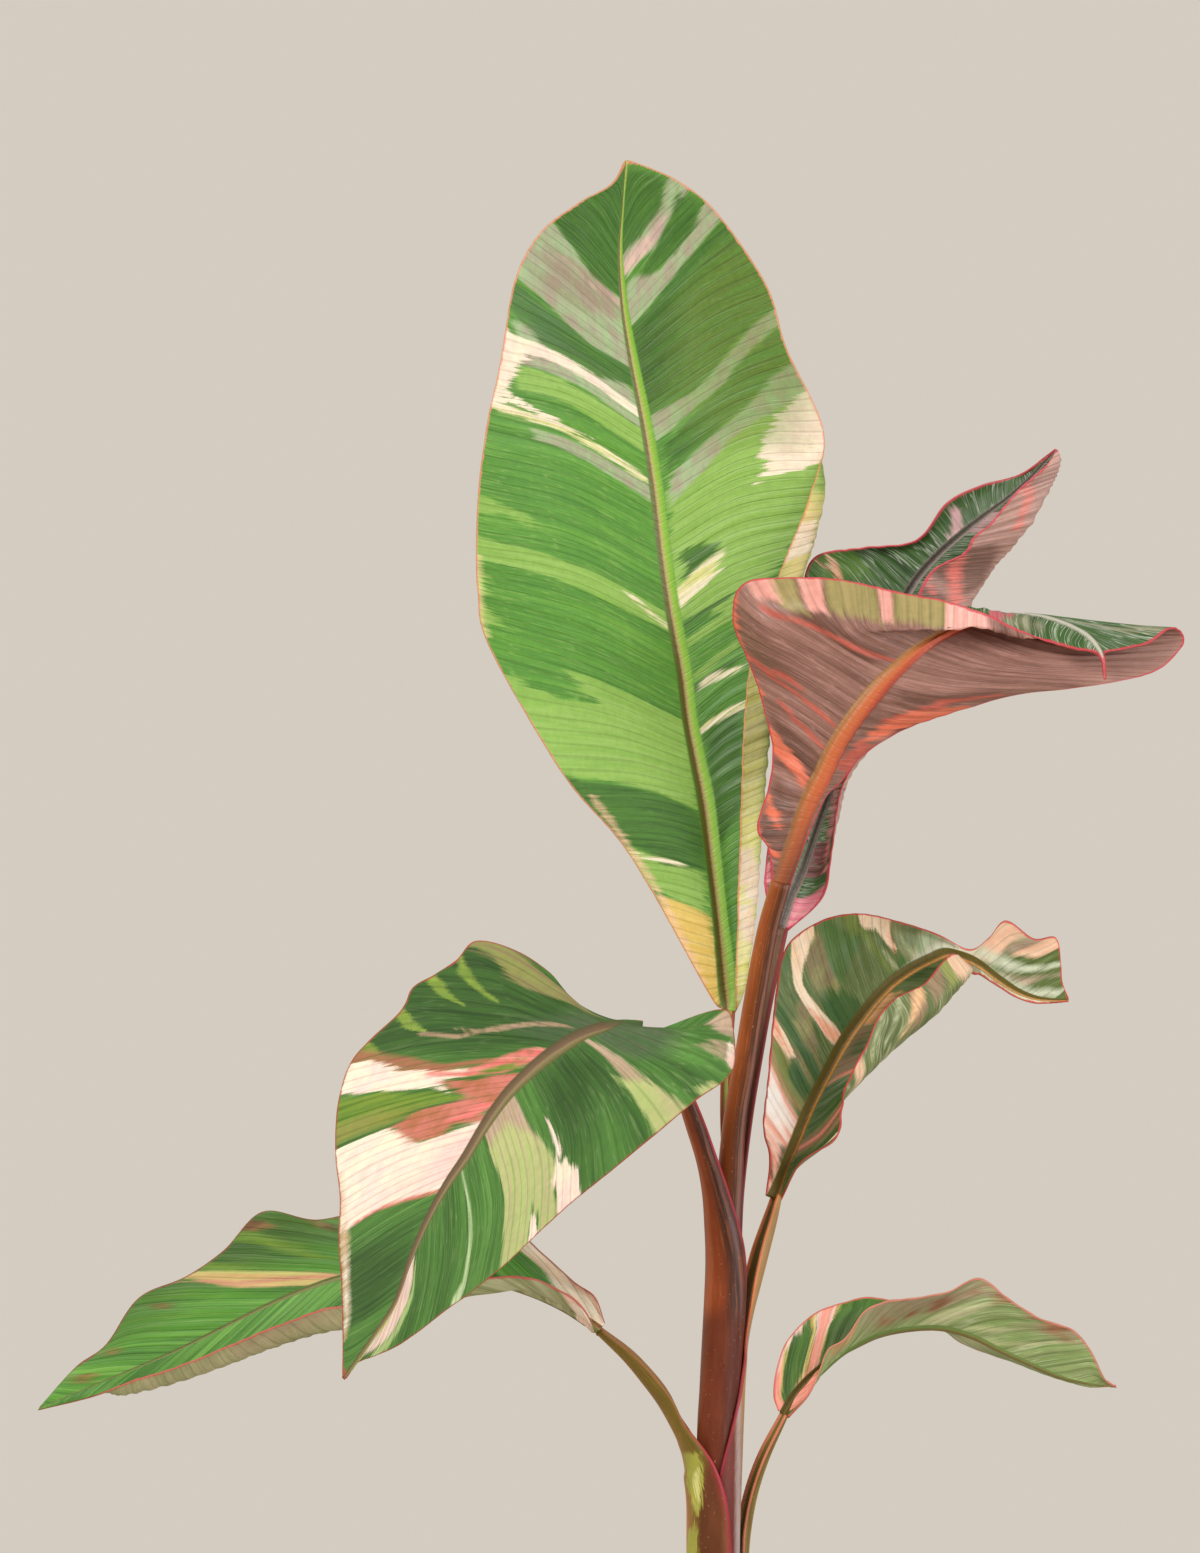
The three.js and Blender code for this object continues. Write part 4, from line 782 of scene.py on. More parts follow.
leafD = {
    "name": "leaf_d", "slot": "blade_green", "facing": -1, "seed": 4.6, "slant": (0.5, 0.1), "shine": 0.28,
    "ribWidth": 3.4, "ribHeight": 2.6, "ribShow": 3.2,
    "upper": {"base": [(0, (60, 96, 42)), (0.35, (68, 112, 46)), (0.65, (82, 130, 56)),
        (1, (96, 148, 66))], "vein": (150, 176, 116), "veinShow": 0.25, "margin": (176, 84, 66),
        # The painted shade along the furrows is deeper on this leaf.
        "gloss": 0.6, "furrowAndShade": 0.2, "rib": [(0, (84, 80, 48)), (0.45, (124, 98, 76)),
        (0.6, (146, 130, 92)), (1, (92, 92, 48))], "foot": [(0, (74, 100, 52)), (1, (88, 102, 64))],
        "footLength": 16},
    "upperMarks": [
        # Dark green patches on the upper lobes: partly the leaf's own dark green, partly painted shade.
        {"colors": [(40, 66, 32), (50, 82, 34)], "cover": 0.7, "soft": 3,
         "left": [[(-150, 318), (-128, 330), (-124, 316), (-136, 296), (-148, 290)], [(-140, 404),
          (-116, 430), (-95, 446), (-72, 440), (-50, 416), (-66, 402), (-100, 398)]],
         "right": [[(-66, 398), (-52, 402), (-40, 390), (-52, 370), (-60, 366), (-70, 384)]]},
        {"colors": [(92, 102, 80), (70, 96, 60)], "cover": 0.85, "soft": 1.6,
         "left": [[(-66, 404), (-50, 410), (-46, 416), (-62, 414), (-80, 408)]],
         "right": [[(-50, 409), (-36, 412), (-14, 408), (-20, 400), (-34, 398), (-46, 403)]]},
        {"colors": [(146, 150, 84), (144, 122, 92)],
         "left": [[(-92, 446), (-78, 444), (-68, 437), (-60, 424), (-44, 413), (-64, 422), (-76, 425),
          (-84, 430), (-90, 437)]]},
        {"colors": [(142, 166, 70), (122, 150, 60)], "jag": 1.2, "soft": 0.2,
         "left": [[(-103, 438, 0.3), (-100, 431, 0.4), (-95, 425, 0.35), (-88, 421, 0.2)],
          [(-113, 430, 0.6), (-110, 425, 0.5), (-106, 421.6, 0.35), (-101, 419.4, 0.2)], [(-127, 416, 0.5),
          (-122, 410, 0.5), (-116, 407.6, 0.3)], [(-140, 404, 0.5), (-137, 399, 0.6), (-132, 396, 0.5)]]},
        {"colors": [(164, 140, 108), (178, 150, 126)], "jag": 0.4, "soft": 0.3,
         "left": [[(-117, 408, 0.5), (-104, 406.4, 0.6), (-60, 411, 0.7)], [(-104, 409.6, 0.2),
          (-88, 409.4, 0.25), (-70, 411.6, 0.2)]]},
        {"colors": [(150, 116, 72), (170, 108, 84)], "jag": 1.2,
         "left": [[(-145, 400, 1), (-136, 396, 1.4), (-126, 394, 1.9), (-114, 393, 1.9), (-92, 396, 1.2)]]},
        {"colors": [tones["cream"], (250, 222, 212)], "by": "cloud", "cover": 0.98, "soft": 0.3,
         "left": [[(-146, 400), (-138, 397), (-126, 393), (-112, 392), (-99, 392.5), (-99, 389.5),
          (-109, 388.5), (-107, 384), (-112, 385.5), (-132, 383.5), (-134, 385), (-148, 384.5),
          (-153, 386)], [(-154, 362), (-133, 369), (-128, 369), (-119, 364), (-97, 371), (-91, 378),
          (-99, 362), (-109, 347), (-113, 344), (-133, 338), (-149, 328), (-155, 330)]],
         "right": [[(-65, 365), (-62, 357), (-56, 354), (-50, 348), (-63, 337), (-64, 343), (-67, 348),
          (-65, 352), (-66, 358), (-64, 360)], [(-74.6, 339), (-72, 334), (-68, 331), (-79, 318),
          (-75, 327)]]},
        {"colors": [(246, 234, 214), (206, 176, 140)], "by": "cloud", "jag": 0.8, "soft": 0.3,
         "left": [[(-151, 352, 0.3), (-149.4, 326, 0.45), (-149, 284, 0.2)]]},
        {"colors": [(250, 208, 202), (248, 190, 188)], "cover": 0.8, "soft": 3,
         "left": [[(-122, 347), (-106, 366), (-92, 376), (-110, 346)]]},
        {"colors": [(214, 126, 114), (184, 112, 80)], "by": "cloud",
         "left": [[(-129, 371), (-118, 377), (-97, 382), (-89, 386), (-89, 381), (-94, 376), (-96, 371.5),
          (-105, 371), (-108, 367), (-116, 364.5), (-122, 364.5)], [(-111, 388.5), (-98, 389), (-79, 393),
          (-83, 388), (-90, 383), (-100, 383)]]},
        {"colors": [(228, 118, 112), (238, 150, 140)], "jag": 1.6,
         "left": [[(-99, 393), (-80, 397.5), (-71, 402), (-69, 400), (-86, 392.5), (-99, 390)],
          [(-114, 390.6, 0.6), (-99, 392, 0.9), (-72, 401, 0.8)], [(-104, 373, 0.9), (-97, 375, 1.2),
          (-92, 379, 1)], [(-111, 345, 0.5), (-133, 338.6, 0.5), (-144, 332, 0.6)]]},
        {"colors": [(92, 132, 44), (124, 150, 52)],
         "left": [[(-153, 384.5), (-134, 385.2), (-132, 383), (-111, 385), (-109, 383), (-102, 382),
          (-154, 362)], [(-99, 389.6), (-88, 391), (-80, 394), (-76, 397.6)]]},
        {"colors": [(158, 160, 66), (150, 144, 84)], "cover": 0.7, "soft": 1.6,
         "left": [[(-153, 371), (-136, 376), (-118, 378), (-128, 372), (-154, 363)]]},
        {"colors": [(182, 160, 130), (200, 172, 150)],
         "right": [[(-54, 405.5), (-46, 399), (-33, 382), (-27, 388), (-45, 402)], [(-81, 381), (-75, 370),
          (-68, 362.5), (-90, 358), (-93, 366), (-89, 375)], [(-8, 403), (0, 406), (8, 404), (8, 397)],
          [(-3, 418), (5, 418), (7, 408), (2, 408), (-4, 411)]]},
        {"colors": [(182, 198, 124), (192, 188, 136)],
         "right": [[(-40, 390), (-22, 368), (-6, 381), (-20, 384), (-29, 390)], [(-9, 382), (-9, 386),
          (-1, 389), (2, 387)], [(-92, 362), (-84, 372), (-75, 369), (-66, 360), (-64, 352), (-67, 348.5),
          (-63, 341), (-63, 337.5), (-69, 330), (-72, 333), (-73.5, 338), (-77, 321), (-84, 315),
          (-84, 341), (-87, 352)]]},
        {"colors": [(246, 232, 216), (238, 196, 184)], "soft": 0.3,
         "right": [[(-67, 372, 0.5), (-65, 366, 1), (-63, 360, 1)], [(5, 403, 0.6), (6.5, 399, 1.2),
          (7, 396, 0.6)], [(-121.5, 319), (-121, 310), (-123, 301), (-131, 286.5), (-144, 276),
          (-132, 294)]]},
        {"colors": [(168, 198, 120), (190, 208, 148)], "jag": 3,
         "right": [[(-121, 314, 0.8), (-121.5, 303, 1.1), (-126, 293, 1.1), (-131, 285, 1),
          (-138, 278.6, 0.9)]]},
        {"colors": [(206, 220, 182), (182, 206, 150)], "jag": 2,
         "right": [[(-101.6, 353, 0.4), (-99.6, 343, 0.6), (-98.8, 318, 0.7), (-101, 306, 0.9),
          (-105, 299, 1.2)]]},
        {"colors": [(150, 180, 62), (190, 196, 84)], "jag": 3,
         "right": [[(-127, 302, 0.3), (-141, 281, 0.8), (-147, 272, 0.6)]]},
    ],
    "under": {"base": [(0, (104, 128, 78)), (0.5, (128, 146, 96)), (1, (156, 156, 112))],
        "through": 0.7, "vein": (190, 190, 150), "veinShow": 0.25, "margin": (176, 70, 60), "gloss": 0.5,
        "rib": [(0, (150, 104, 56)), (0.5, (180, 132, 74)), (1, (150, 104, 56))]},
    "underMarks": [],
    "rows": [
        [[-29, -41.4, 410], [[-29.6, -40, 412.8]], [[-28.4, -42.8, 407.2]]],
        [[-37, -47, 411.5], [[-39, -46, 412.5], [-42, -44, 413.5]], [[-24, -46, 409.3], [-8, -41, 409.8],
         [1.5, -36, 417.5]]],
        [[-42, -50, 410.8], [[-49, -46, 415], [-56, -42, 420.5]], [[-20, -50, 409], [-4, -45, 408.5],
         [7, -37, 410]]],
        [[-47, -54, 409.3], [[-58, -50, 419], [-67, -44, 432.5]], [[-22, -55, 400], [-6, -51, 396.5],
         [6.5, -43, 392.5]]],
        [[-54, -58, 406.8], [[-70, -54, 420], [-80, -46, 441]], [[-30, -60, 394], [-8, -56, 381]]],
        [[-60, -62, 403.6], [[-80, -58, 419], [-96, -49, 444.6]], [[-40, -65, 386], [-24, -62, 367.5]]],
        [[-63.5, -64.5, 401.3], [[-86, -60.5, 415.5], [-104, -53, 437]], [[-45, -68, 381.5],
         [-32.5, -66, 360.5]]],
        [[-67, -67, 398.8], [[-92, -63, 412], [-112.5, -56, 431.5]], [[-50, -71, 377], [-41, -70, 353.5]]],
        [[-70.8, -70, 395.8], [[-97, -66.5, 407.5], [-121.5, -59, 426]], [[-55, -74.5, 373],
         [-48.5, -74.5, 347.5]]],
        [[-74.5, -73, 392.5], [[-102, -70, 402], [-126.5, -64, 416.5]], [[-60, -78, 369],
         [-56, -79, 341.5]]],
        [[-82.5, -79, 384.5], [[-112, -76, 391], [-144.5, -71, 398.5]], [[-71, -85, 357], [-69, -88, 330]]],
        [[-91, -85, 373], [[-120, -83, 377], [-151, -80, 381]], [[-82, -91, 346], [-83, -96, 316.5]]],
        [[-99.6, -92, 358.8], [[-125, -90, 360], [-152.3, -88, 360]], [[-94, -98, 332], [-97, -103, 305]]],
        [[-107, -99, 348], [[-130, -97, 345], [-150.5, -96, 342]], [[-105, -104, 322], [-108, -109, 297]]],
        [[-114.5, -105, 334.5], [[-133, -104, 330], [-151, -103, 325]], [[-115, -110, 310],
         [-119, -114, 288.5]]],
        [[-121.5, -112, 318.5], [[-137, -111, 313], [-150, -110, 309]], [[-124, -116, 300],
         [-128, -119, 282.5]]],
        [[-128, -118, 300.5], [[-140, -118, 296], [-149.5, -117, 294]], [[-132, -121, 288],
         [-136.5, -123, 278.8]]],
        [[-137.5, -125, 286], [[-144, -125, 282.5], [-149.3, -124, 281]], [[-140.5, -126, 280.5],
         [-143.5, -127, 276]]],
        [[-149, -131, 269.8], [[-149.5, -131, 270.3]], [[-148.5, -131, 269.3]]],
    ],
}


leafE = {
    "name": "leaf_e", "slot": "blade_green", "facing": -1, "seed": 5.2, "slant": (1.8, 1.2), "shine": 0.3,
    "ribWidth": 3.0, "ribHeight": 2.2, "ribShow": 1.5,
    "upper": {"glow": 0.08, "base": [(0, (54, 100, 38)), (0.35, (74, 130, 48)), (0.65, (94, 156, 58)),
        (1, (124, 182, 78))], "vein": (150, 184, 112), "veinShow": 0.2, "margin": (140, 76, 56),
        "gloss": 0.4, "rib": [(0, (112, 132, 70)), (0.5, (146, 146, 98)), (1, (112, 132, 70))],
        "foot": [(0, (196, 150, 110)), (1, (196, 150, 110))], "footLength": 20},
    "upperMarks": [
        {"colors": [(54, 84, 34), (70, 92, 40)], "cover": 0.7, "soft": 2.4,
         "left": [[(-206, 312), (-190, 328), (-186, 333), (-150, 334), (-150, 326), (-180, 314)],
          [(-256, 276), (-236, 292), (-222, 307), (-214, 308), (-240, 284)]]},
        {"colors": [(140, 168, 62), (120, 156, 56)], "cover": 0.75, "soft": 0.9,
         "left": [[(-192, 329, 0.5), (-178, 323, 0.8), (-160, 318, 0.6)], [(-205, 316, 0.6),
          (-190, 312, 0.9), (-174, 311.6, 0.6)]]},
        {"colors": [(206, 202, 124), (224, 178, 128)], "jag": 1.5,
         "left": [[(-211, 311.6), (-148, 311.6), (-148, 309.6), (-164, 309), (-178, 306), (-190, 306),
          (-209, 310)]]},
        {"colors": [(222, 146, 122), (200, 150, 120)], "jag": 1.5,
         "left": [[(-205, 309.6, 0.5), (-190, 308, 0.7), (-150, 310.6, 0.7)], [(-224, 308), (-211, 310.8),
          (-212, 308.6), (-220, 307)]]},
        {"colors": [(255, 244, 226), (252, 222, 198)], "by": "cloud",
         "left": [[(-80, 328), (-72, 326), (-46, 304), (-38, 286), (-46, 284), (-54, 295), (-62, 302),
          (-68, 312), (-77, 320)]]},
        {"colors": [(240, 150, 128)], "jag": 2,
         "left": [[(-58, 309, 0.2), (-49, 303, 0.4), (-44, 293, 0.5)]]},
        {"colors": [(158, 112, 72), (96, 66, 38)], "by": "cloud", "jag": 3,
         "both": [[(-189, 331), (-181, 333), (-179, 330), (-186, 329)], [(-159, 333), (-153, 332),
          (-152, 329), (-158, 330)], [(-225, 300), (-220, 300), (-219, 297.6), (-224, 297)], [(-243, 281),
          (-240, 281), (-240, 279.4), (-243, 279.4)], [(-258, 270), (-251, 272), (-249, 270),
          (-254, 267.4)]]},
    ],
    "under": {"glow": 0.08, "base": [(0, (136, 140, 92)), (0.5, (158, 160, 116)), (1, (182, 176, 138))],
        "vein": (194, 190, 150), "veinShow": 0.3, "margin": (206, 96, 90), "marginWidth": 0.5, "gloss": 0.5,
        "rib": [(0, (112, 90, 44)), (0.5, (136, 112, 62)), (1, (112, 92, 46))]},
    "underMarks": [
        {"colors": [(178, 160, 130), (166, 146, 118)], "cover": 0.7, "soft": 1.2,
         "right": [[(-200, 281), (-150, 298), (-150, 293), (-190, 279)]]},
        {"colors": [(150, 156, 108), (188, 190, 150)], "jag": 2,
         "right": [[(-96, 314), (-76, 316), (-62, 309), (-56, 300), (-66, 298), (-96, 302)]]},
        {"colors": [(255, 240, 224), (252, 208, 186)], "by": "cloud", "jag": 2,
         "left": [[(-80, 328), (-72, 326), (-46, 304), (-40, 290), (-48, 287), (-54, 295), (-62, 302),
          (-68, 312), (-77, 320)]],
         "right": [[(-58, 304), (-52, 302), (-44, 292), (-46, 284), (-56, 292)]]},
    ],
    "rows": [
        [[-46, -13, 289.5], [[-44.4, -13, 292.2]], [[-47.6, -13, 286.8]]],
        [[-54, -13.5, 294.6], [[-51.5, -12, 301], [-48.5, -13, 302.5]], [[-54, -18, 295.5],
         [-53.5, -21, 298.5]]],
        [[-63, -14, 299.8], [[-60.5, -12, 306], [-57, -13, 308.8]], [[-63, -19, 301], [-62, -23, 304.8]]],
        [[-75, -15, 305], [[-72.5, -13, 314], [-69.5, -14, 320]], [[-76, -21, 305.5], [-75, -26, 310]]],
        [[-90, -16, 309.5], [[-89, -14, 324], [-86, -14, 334]], [[-92, -22, 304], [-91, -28, 310]]],
        [[-108, -17, 312.6], [[-110, -14, 328], [-112, -13, 339]], [[-112, -22, 299], [-110, -29, 304]]],
        [[-128, -17, 313], [[-133, -14, 328], [-136, -12, 338]], [[-134, -20, 292], [-132, -28, 298]]],
        [[-148, -15, 310.6], [[-157, -12, 324], [-160, -10, 333.4]], [[-156, -20, 289],
         [-152, -27, 298.5]]],
        [[-165, -13, 305], [[-176, -10, 319], [-181.5, -8, 336.5]], [[-175, -18, 283.5], [-170, -25, 293]]],
        [[-180, -11, 298.5], [[-190, -8, 310], [-197, -6, 321]], [[-192, -15, 277], [-188, -23, 285.5]]],
        [[-196, -9, 290.5], [[-206, -7, 302], [-212, -5, 310.6]], [[-208, -12, 271.2], [-205, -20, 278.5]]],
        [[-212, -7, 282.5], [[-221, -5, 292], [-231, -3, 302]], [[-223, -9, 266.8], [-221, -16, 272.8]]],
        [[-228, -5, 275.5], [[-237, -3, 282], [-244, -2, 283.5]], [[-237, -6, 263.7], [-236, -11, 268]]],
        [[-245, -3, 268.5], [[-252, -2, 272.5], [-256, -1, 274.5]], [[-249, -4, 262.5]]],
        [[-270.8, 0, 257.8], [[-270.4, 0, 258.6]], [[-271.2, 0, 257]]],
    ],
}


leafF = {
    "name": "leaf_f", "slot": "blade_green", "facing": 1, "seed": 6.8, "slant": (0.5, 1.2), "shine": 0.3,
    "ribWidth": 3.3, "ribHeight": 2.4, "ribShow": 2.9,
    "upper": {"glow": 0.08, "base": [(0, (74, 98, 44)), (0.4, (92, 112, 58)), (0.75, (106, 122, 72)),
        (1, (128, 138, 92))], "vein": (158, 170, 118), "veinShow": 0.3, "margin": (206, 62, 56),
        "marginWidth": 0.4, "gloss": 0.38, "rib": [(0, (92, 92, 40)), (0.25, (112, 98, 38)),
        (0.5, (94, 82, 34)), (0.68, (150, 118, 58)), (0.8, (226, 156, 88)), (0.9, (150, 126, 64)),
        (1, (96, 92, 44))]},
    "upperMarks": [
        {"colors": [(150, 146, 88), (132, 118, 84)], "by": "cloud",
         "left": [[(40, 450), (36, 446), (34, 438), (36, 432), (40, 424), (50, 424), (50, 428), (46, 434),
          (43, 442), (42, 448)], [(34, 424), (31, 412), (38, 400), (44, 393), (49, 401), (38, 415)],
          [(29, 402), (33, 402), (41, 390), (38, 386)]]},
        {"colors": [(72, 108, 46), (84, 118, 56)],
         "left": [[(26, 442), (33, 447), (30, 440), (29, 434), (27, 432)], [(41, 453), (48, 450), (58, 448),
          (58, 443), (54, 437), (52, 430), (50, 427), (46, 434), (43, 442)], [(80, 450), (90, 447),
          (101, 442), (96, 439.6), (88, 441.4), (84, 444.6)]]},
        {"colors": [(126, 142, 68), (108, 130, 60)],
         "left": [[(46, 454), (52, 457), (58, 457), (57, 451), (62, 448), (65, 441), (73, 432.6), (69, 433),
          (61, 442), (58, 448), (52, 449.6)]]},
        {"colors": [(148, 152, 108), (124, 138, 100)], "by": "cloud",
         "left": [[(69, 453), (75, 453), (82, 450), (92, 442), (86, 440.4), (81, 441.6), (79, 436.4),
          (75, 439), (72, 443)]]},
        {"colors": [(182, 188, 140), (166, 176, 124)], "jag": 3,
         "left": [[(67, 441, 0.6), (70, 437, 0.7), (73, 433, 0.4)], [(74, 447, 0.4), (77, 441, 0.6),
          (80, 437, 0.5)], [(81, 448, 0.4), (86, 443.6, 0.6), (92, 441, 0.4)]]},
        {"colors": [(50, 92, 38), (64, 100, 42)],
         "left": [[(42, 421), (46, 425), (49, 423), (50, 425), (57, 421), (55, 412), (50, 407),
          (46, 411.6)], [(23, 418), (27, 417.6), (34, 403), (38, 399.6), (42, 392), (40, 387), (26, 411)],
          [(27, 393), (29, 396.6), (33, 396), (39, 385), (36, 382), (31, 386)]]},
        {"colors": [(253, 234, 208), (248, 212, 176)], "cover": 0.98, "jag": 1.6, "soft": 0.25,
         "left": [[(38, 450.6, 0.9), (34.6, 446, 1.7), (32.4, 441, 1.7), (31.8, 434, 1.4), (33.4, 427, 1.5),
          (37.4, 419, 1.8), (42.4, 412.4, 2), (48.6, 406, 1.7)], [(54, 457), (63, 457.6), (72, 455),
          (69.4, 450), (70, 445.6), (72.4, 441), (70, 441), (64, 449.6), (60, 449), (57, 452)], [(21, 430),
          (25, 423), (24, 417), (31, 398.6), (28, 397.6), (25, 402), (21, 405), (19, 416)]]},
        {"colors": [(246, 178, 142), (238, 146, 118)], "jag": 2,
         "left": [[(37.6, 417, 0.5), (43, 410.6, 1.1), (48.6, 405.4, 1.4)], [(68.6, 446.6, 0.5),
          (71, 441.6, 0.7)], [(22, 414, 0.8), (25, 407, 0.9), (29, 400, 0.7)]]},
        {"colors": [(172, 146, 98), (122, 132, 66)],
         "left": [[(20, 405.6), (25, 404), (30, 396.6), (27.6, 393), (31, 386), (35.6, 380), (34, 375),
          (28, 382), (21, 399)]]},
        {"colors": [(250, 172, 150), (254, 216, 200)], "jag": 3,
         "left": [[(19, 399), (23.6, 393), (33, 374), (31, 365), (27, 361), (22, 343), (18, 343),
          (17, 380)]]},
        {"colors": [(255, 250, 244), (255, 238, 228)], "by": "cloud", "soft": 1.2,
         "left": [[(18, 397), (23, 391), (30, 374), (26, 368), (18, 369)]]},
        {"colors": [(128, 64, 42), (92, 84, 38)], "jag": 3,
         "left": [[(25, 356), (25.6, 362), (28.6, 363), (27, 356)], [(19.4, 365, 0.5), (21, 358, 0.7),
          (21.6, 350, 0.5)]]},
        {"colors": [(118, 98, 64), (136, 104, 76)],
         "right": [[(46, 389), (56, 407), (61, 411), (61, 402), (59, 397), (54, 393)], [(30, 358),
          (35, 366), (51, 379), (50, 372), (46, 367.6), (38, 361.6)]]},
        {"colors": [(54, 80, 34), (66, 92, 40)],
         "right": [[(52, 398), (57, 406), (60, 406), (59, 401)], [(34, 365), (41, 382), (48, 389.6),
          (52, 388), (51, 380), (44, 373)], [(66, 421), (73, 428), (80, 432), (88, 434), (84, 429.6)],
          [(29, 353), (32, 358), (46, 367.6), (50, 367), (44, 361)]]},
        {"colors": [(240, 162, 92), (244, 182, 138)], "jag": 2,
         "right": [[(57, 410), (62, 417), (68, 422), (74, 425), (62, 411.6)]]},
        {"colors": [(222, 130, 112)], "jag": 2,
         "right": [[(33, 362, 0.4), (50, 377.6, 0.6)], [(43, 386, 0.4), (50, 390.4, 0.6),
          (57, 393.6, 0.7)]]},
        {"colors": [(250, 230, 194)], "jag": 3, "soft": 0.3,
         "right": [[(42, 359), (45.6, 365), (52, 368), (52, 358)]]},
        {"colors": [(166, 186, 146), (190, 200, 168)], "jag": 1, "soft": 1,
         "both": [[(98, 446), (104, 428), (124, 414), (146, 414), (146, 460), (118, 462)]]},
        {"colors": [(176, 156, 138), (196, 172, 152)], "jag": 3, "soft": 0.8,
         "both": [[(102, 434), (110, 436), (120, 444), (121, 454), (124, 452), (120, 440), (108, 432)],
          [(112, 432), (138, 431), (140, 427), (122, 427)]]},
        {"colors": [(248, 214, 184), (244, 194, 166)], "jag": 3,
         "both": [[(95, 442), (97, 428), (110, 437), (118, 445), (120, 460), (112, 458)], [(122, 458),
          (142, 456), (142, 439), (128, 438), (119, 439)]]},
        {"colors": [(226, 232, 210), (206, 216, 188)], "cover": 0.85, "jag": 2,
         "both": [[(106, 433, 0.5), (120, 434, 0.7), (138, 435, 0.6)], [(108, 430, 0.4), (122, 425, 0.6),
          (138, 424, 0.6)]]},
    ],
    "under": {"base": [(0, (90, 106, 60)), (0.4, (106, 120, 72)), (0.8, (128, 138, 90)),
        (1, (156, 160, 116))], "vein": (204, 208, 168), "veinShow": 0.5, "margin": (196, 52, 60),
        "marginWidth": 0.4, "gloss": 0.46, "rib": [(0, (150, 104, 54)), (0.5, (176, 128, 68)),
        (0.8, (140, 124, 70)), (1, (120, 120, 60))]},
    "underMarks": [
        {"colors": [(148, 122, 92), (166, 140, 108)], "jag": 2,
         "right": [[(80, 430), (84, 431), (84, 421), (81, 412), (76, 408), (79, 418)], [(86, 435),
          (92, 439), (92, 430), (90, 423), (87, 419)]],
         "both": [[(104, 433), (118, 444), (122, 450), (121, 442), (112, 434)], [(112, 433), (138, 431),
          (139, 427), (120, 427), (112, 430)]]},
        {"colors": [(164, 170, 88), (150, 158, 88)], "jag": 2,
         "right": [[(92, 440), (96.6, 440), (97, 431), (93, 425), (92, 431)]]},
        {"colors": [(244, 186, 134), (246, 204, 160)], "jag": 1,
         "right": [[(80.4, 428, 0.7), (79.6, 420, 0.8), (78, 413, 0.7), (75, 408, 0.5)]]},
        {"colors": [(206, 212, 176), (190, 200, 152)], "cover": 0.8, "jag": 1,
         "right": [[(73, 423, 0.5), (71.6, 414, 0.5), (68, 405, 0.5)], [(66, 414, 0.4), (64.6, 407, 0.5),
          (62, 399, 0.4)]]},
        {"colors": [(248, 216, 184), (244, 194, 162)], "jag": 2,
         "right": [[(50, 384), (52, 390), (60, 394), (53, 381)]],
         "both": [[(96, 441), (97, 430), (100, 428), (118, 445), (121, 454), (116, 452), (104, 444)],
          [(121, 452), (137, 449), (138, 440), (126, 437), (117, 438)]]},
        {"colors": [(214, 222, 194), (196, 208, 174)], "cover": 0.8, "jag": 3,
         "both": [[(106, 433, 0.6), (118, 434, 0.8), (136, 434.6, 0.6)], [(110, 430, 0.5), (122, 424, 0.7),
          (136, 423, 0.6)], [(100, 431), (124, 420), (112, 424)]]},
        {"colors": [(226, 130, 110)], "jag": 3,
         "both": [[(100, 441, 0.5), (108, 443, 0.5), (117, 448, 0.6), (117, 453, 0.6)]]},
        {"colors": [(120, 74, 50)], "cover": 0.8, "jag": 3,
         "both": [[(105, 441), (107, 441), (107, 439), (105.6, 439)]]},
    ],
    "rows": [
        [[23, 20, 342], [[19.8, 19.6, 343]], [[26.2, 19.6, 341]]],
        [[27, 22, 353], [[24, 20, 356], [21.5, 17, 358]], [[30, 19, 352], [34, 14, 356]]],
        [[31.5, 25, 364], [[25, 22, 368], [18.8, 17, 371]], [[40, 21, 363], [48, 13, 366]]],
        [[37, 28, 377], [[28, 26, 383], [20.5, 20, 388]], [[46, 24, 377], [50.5, 16, 379]]],
        [[43.5, 31, 390], [[33, 30, 399], [22.3, 23, 407]], [[56, 27, 390], [60, 21, 391],
         [51.5, 14, 386]]],
        [[51, 34, 404], [[38, 34, 414], [23.6, 27, 422]], [[66, 31, 400], [70.5, 25, 402], [60, 17, 403]]],
        [[59, 37, 415.5], [[43, 38, 428], [28, 31, 442]], [[75, 34, 408], [81.5, 28, 412],
         [65, 20, 414.5]]],
        [[67.5, 40, 425.5], [[53, 42, 440], [41, 36, 452.5]], [[84, 37, 416], [89.5, 31, 419],
         [72, 24, 422]]],
        [[76.5, 43, 432.5], [[64, 45, 445], [56, 40, 455.8]], [[91, 40, 423], [95.5, 34, 426],
         [83, 28, 427.5]]],
        [[86, 46, 437.5], [[77, 47, 447], [72, 43, 453]], [[97, 43, 429.5], [100, 38, 431], [90, 33, 436]]],
        [[93, 48, 440], [[90, 48, 444.5], [88, 46, 447.8]], [[99, 46, 434], [102, 42, 433.5],
         [95.5, 39, 439.5]]],
        [[101, 49, 437.5], [[101.2, 49, 441.6]], [[102.4, 47, 432]]],
        [[106, 50, 435], [[107, 49, 440], [109, 47, 446]], [[105.5, 49, 431.2]]],
        [[110.5, 51, 431.5], [[114, 49, 441], [116, 44, 453]], [[109.5, 50, 428.6]]],
        [[115, 52, 428.2], [[121, 50, 440], [127, 46, 446]], [[114, 51, 425.8]]],
        [[120.5, 53, 424.8], [[129, 51, 436], [136, 48, 446]], [[119.5, 52, 422.4]]],
        [[127, 54, 422.2], [[133, 53, 431], [138, 52, 436]], [[126.5, 53, 420]]],
        [[133.5, 54.5, 421.3], [[136, 54, 425], [138.6, 53.5, 428.5]], [[133, 54, 419.8]]],
        [[141, 55, 421.2], [[141, 55, 422]], [[141, 55, 420.4]]],
    ],
}


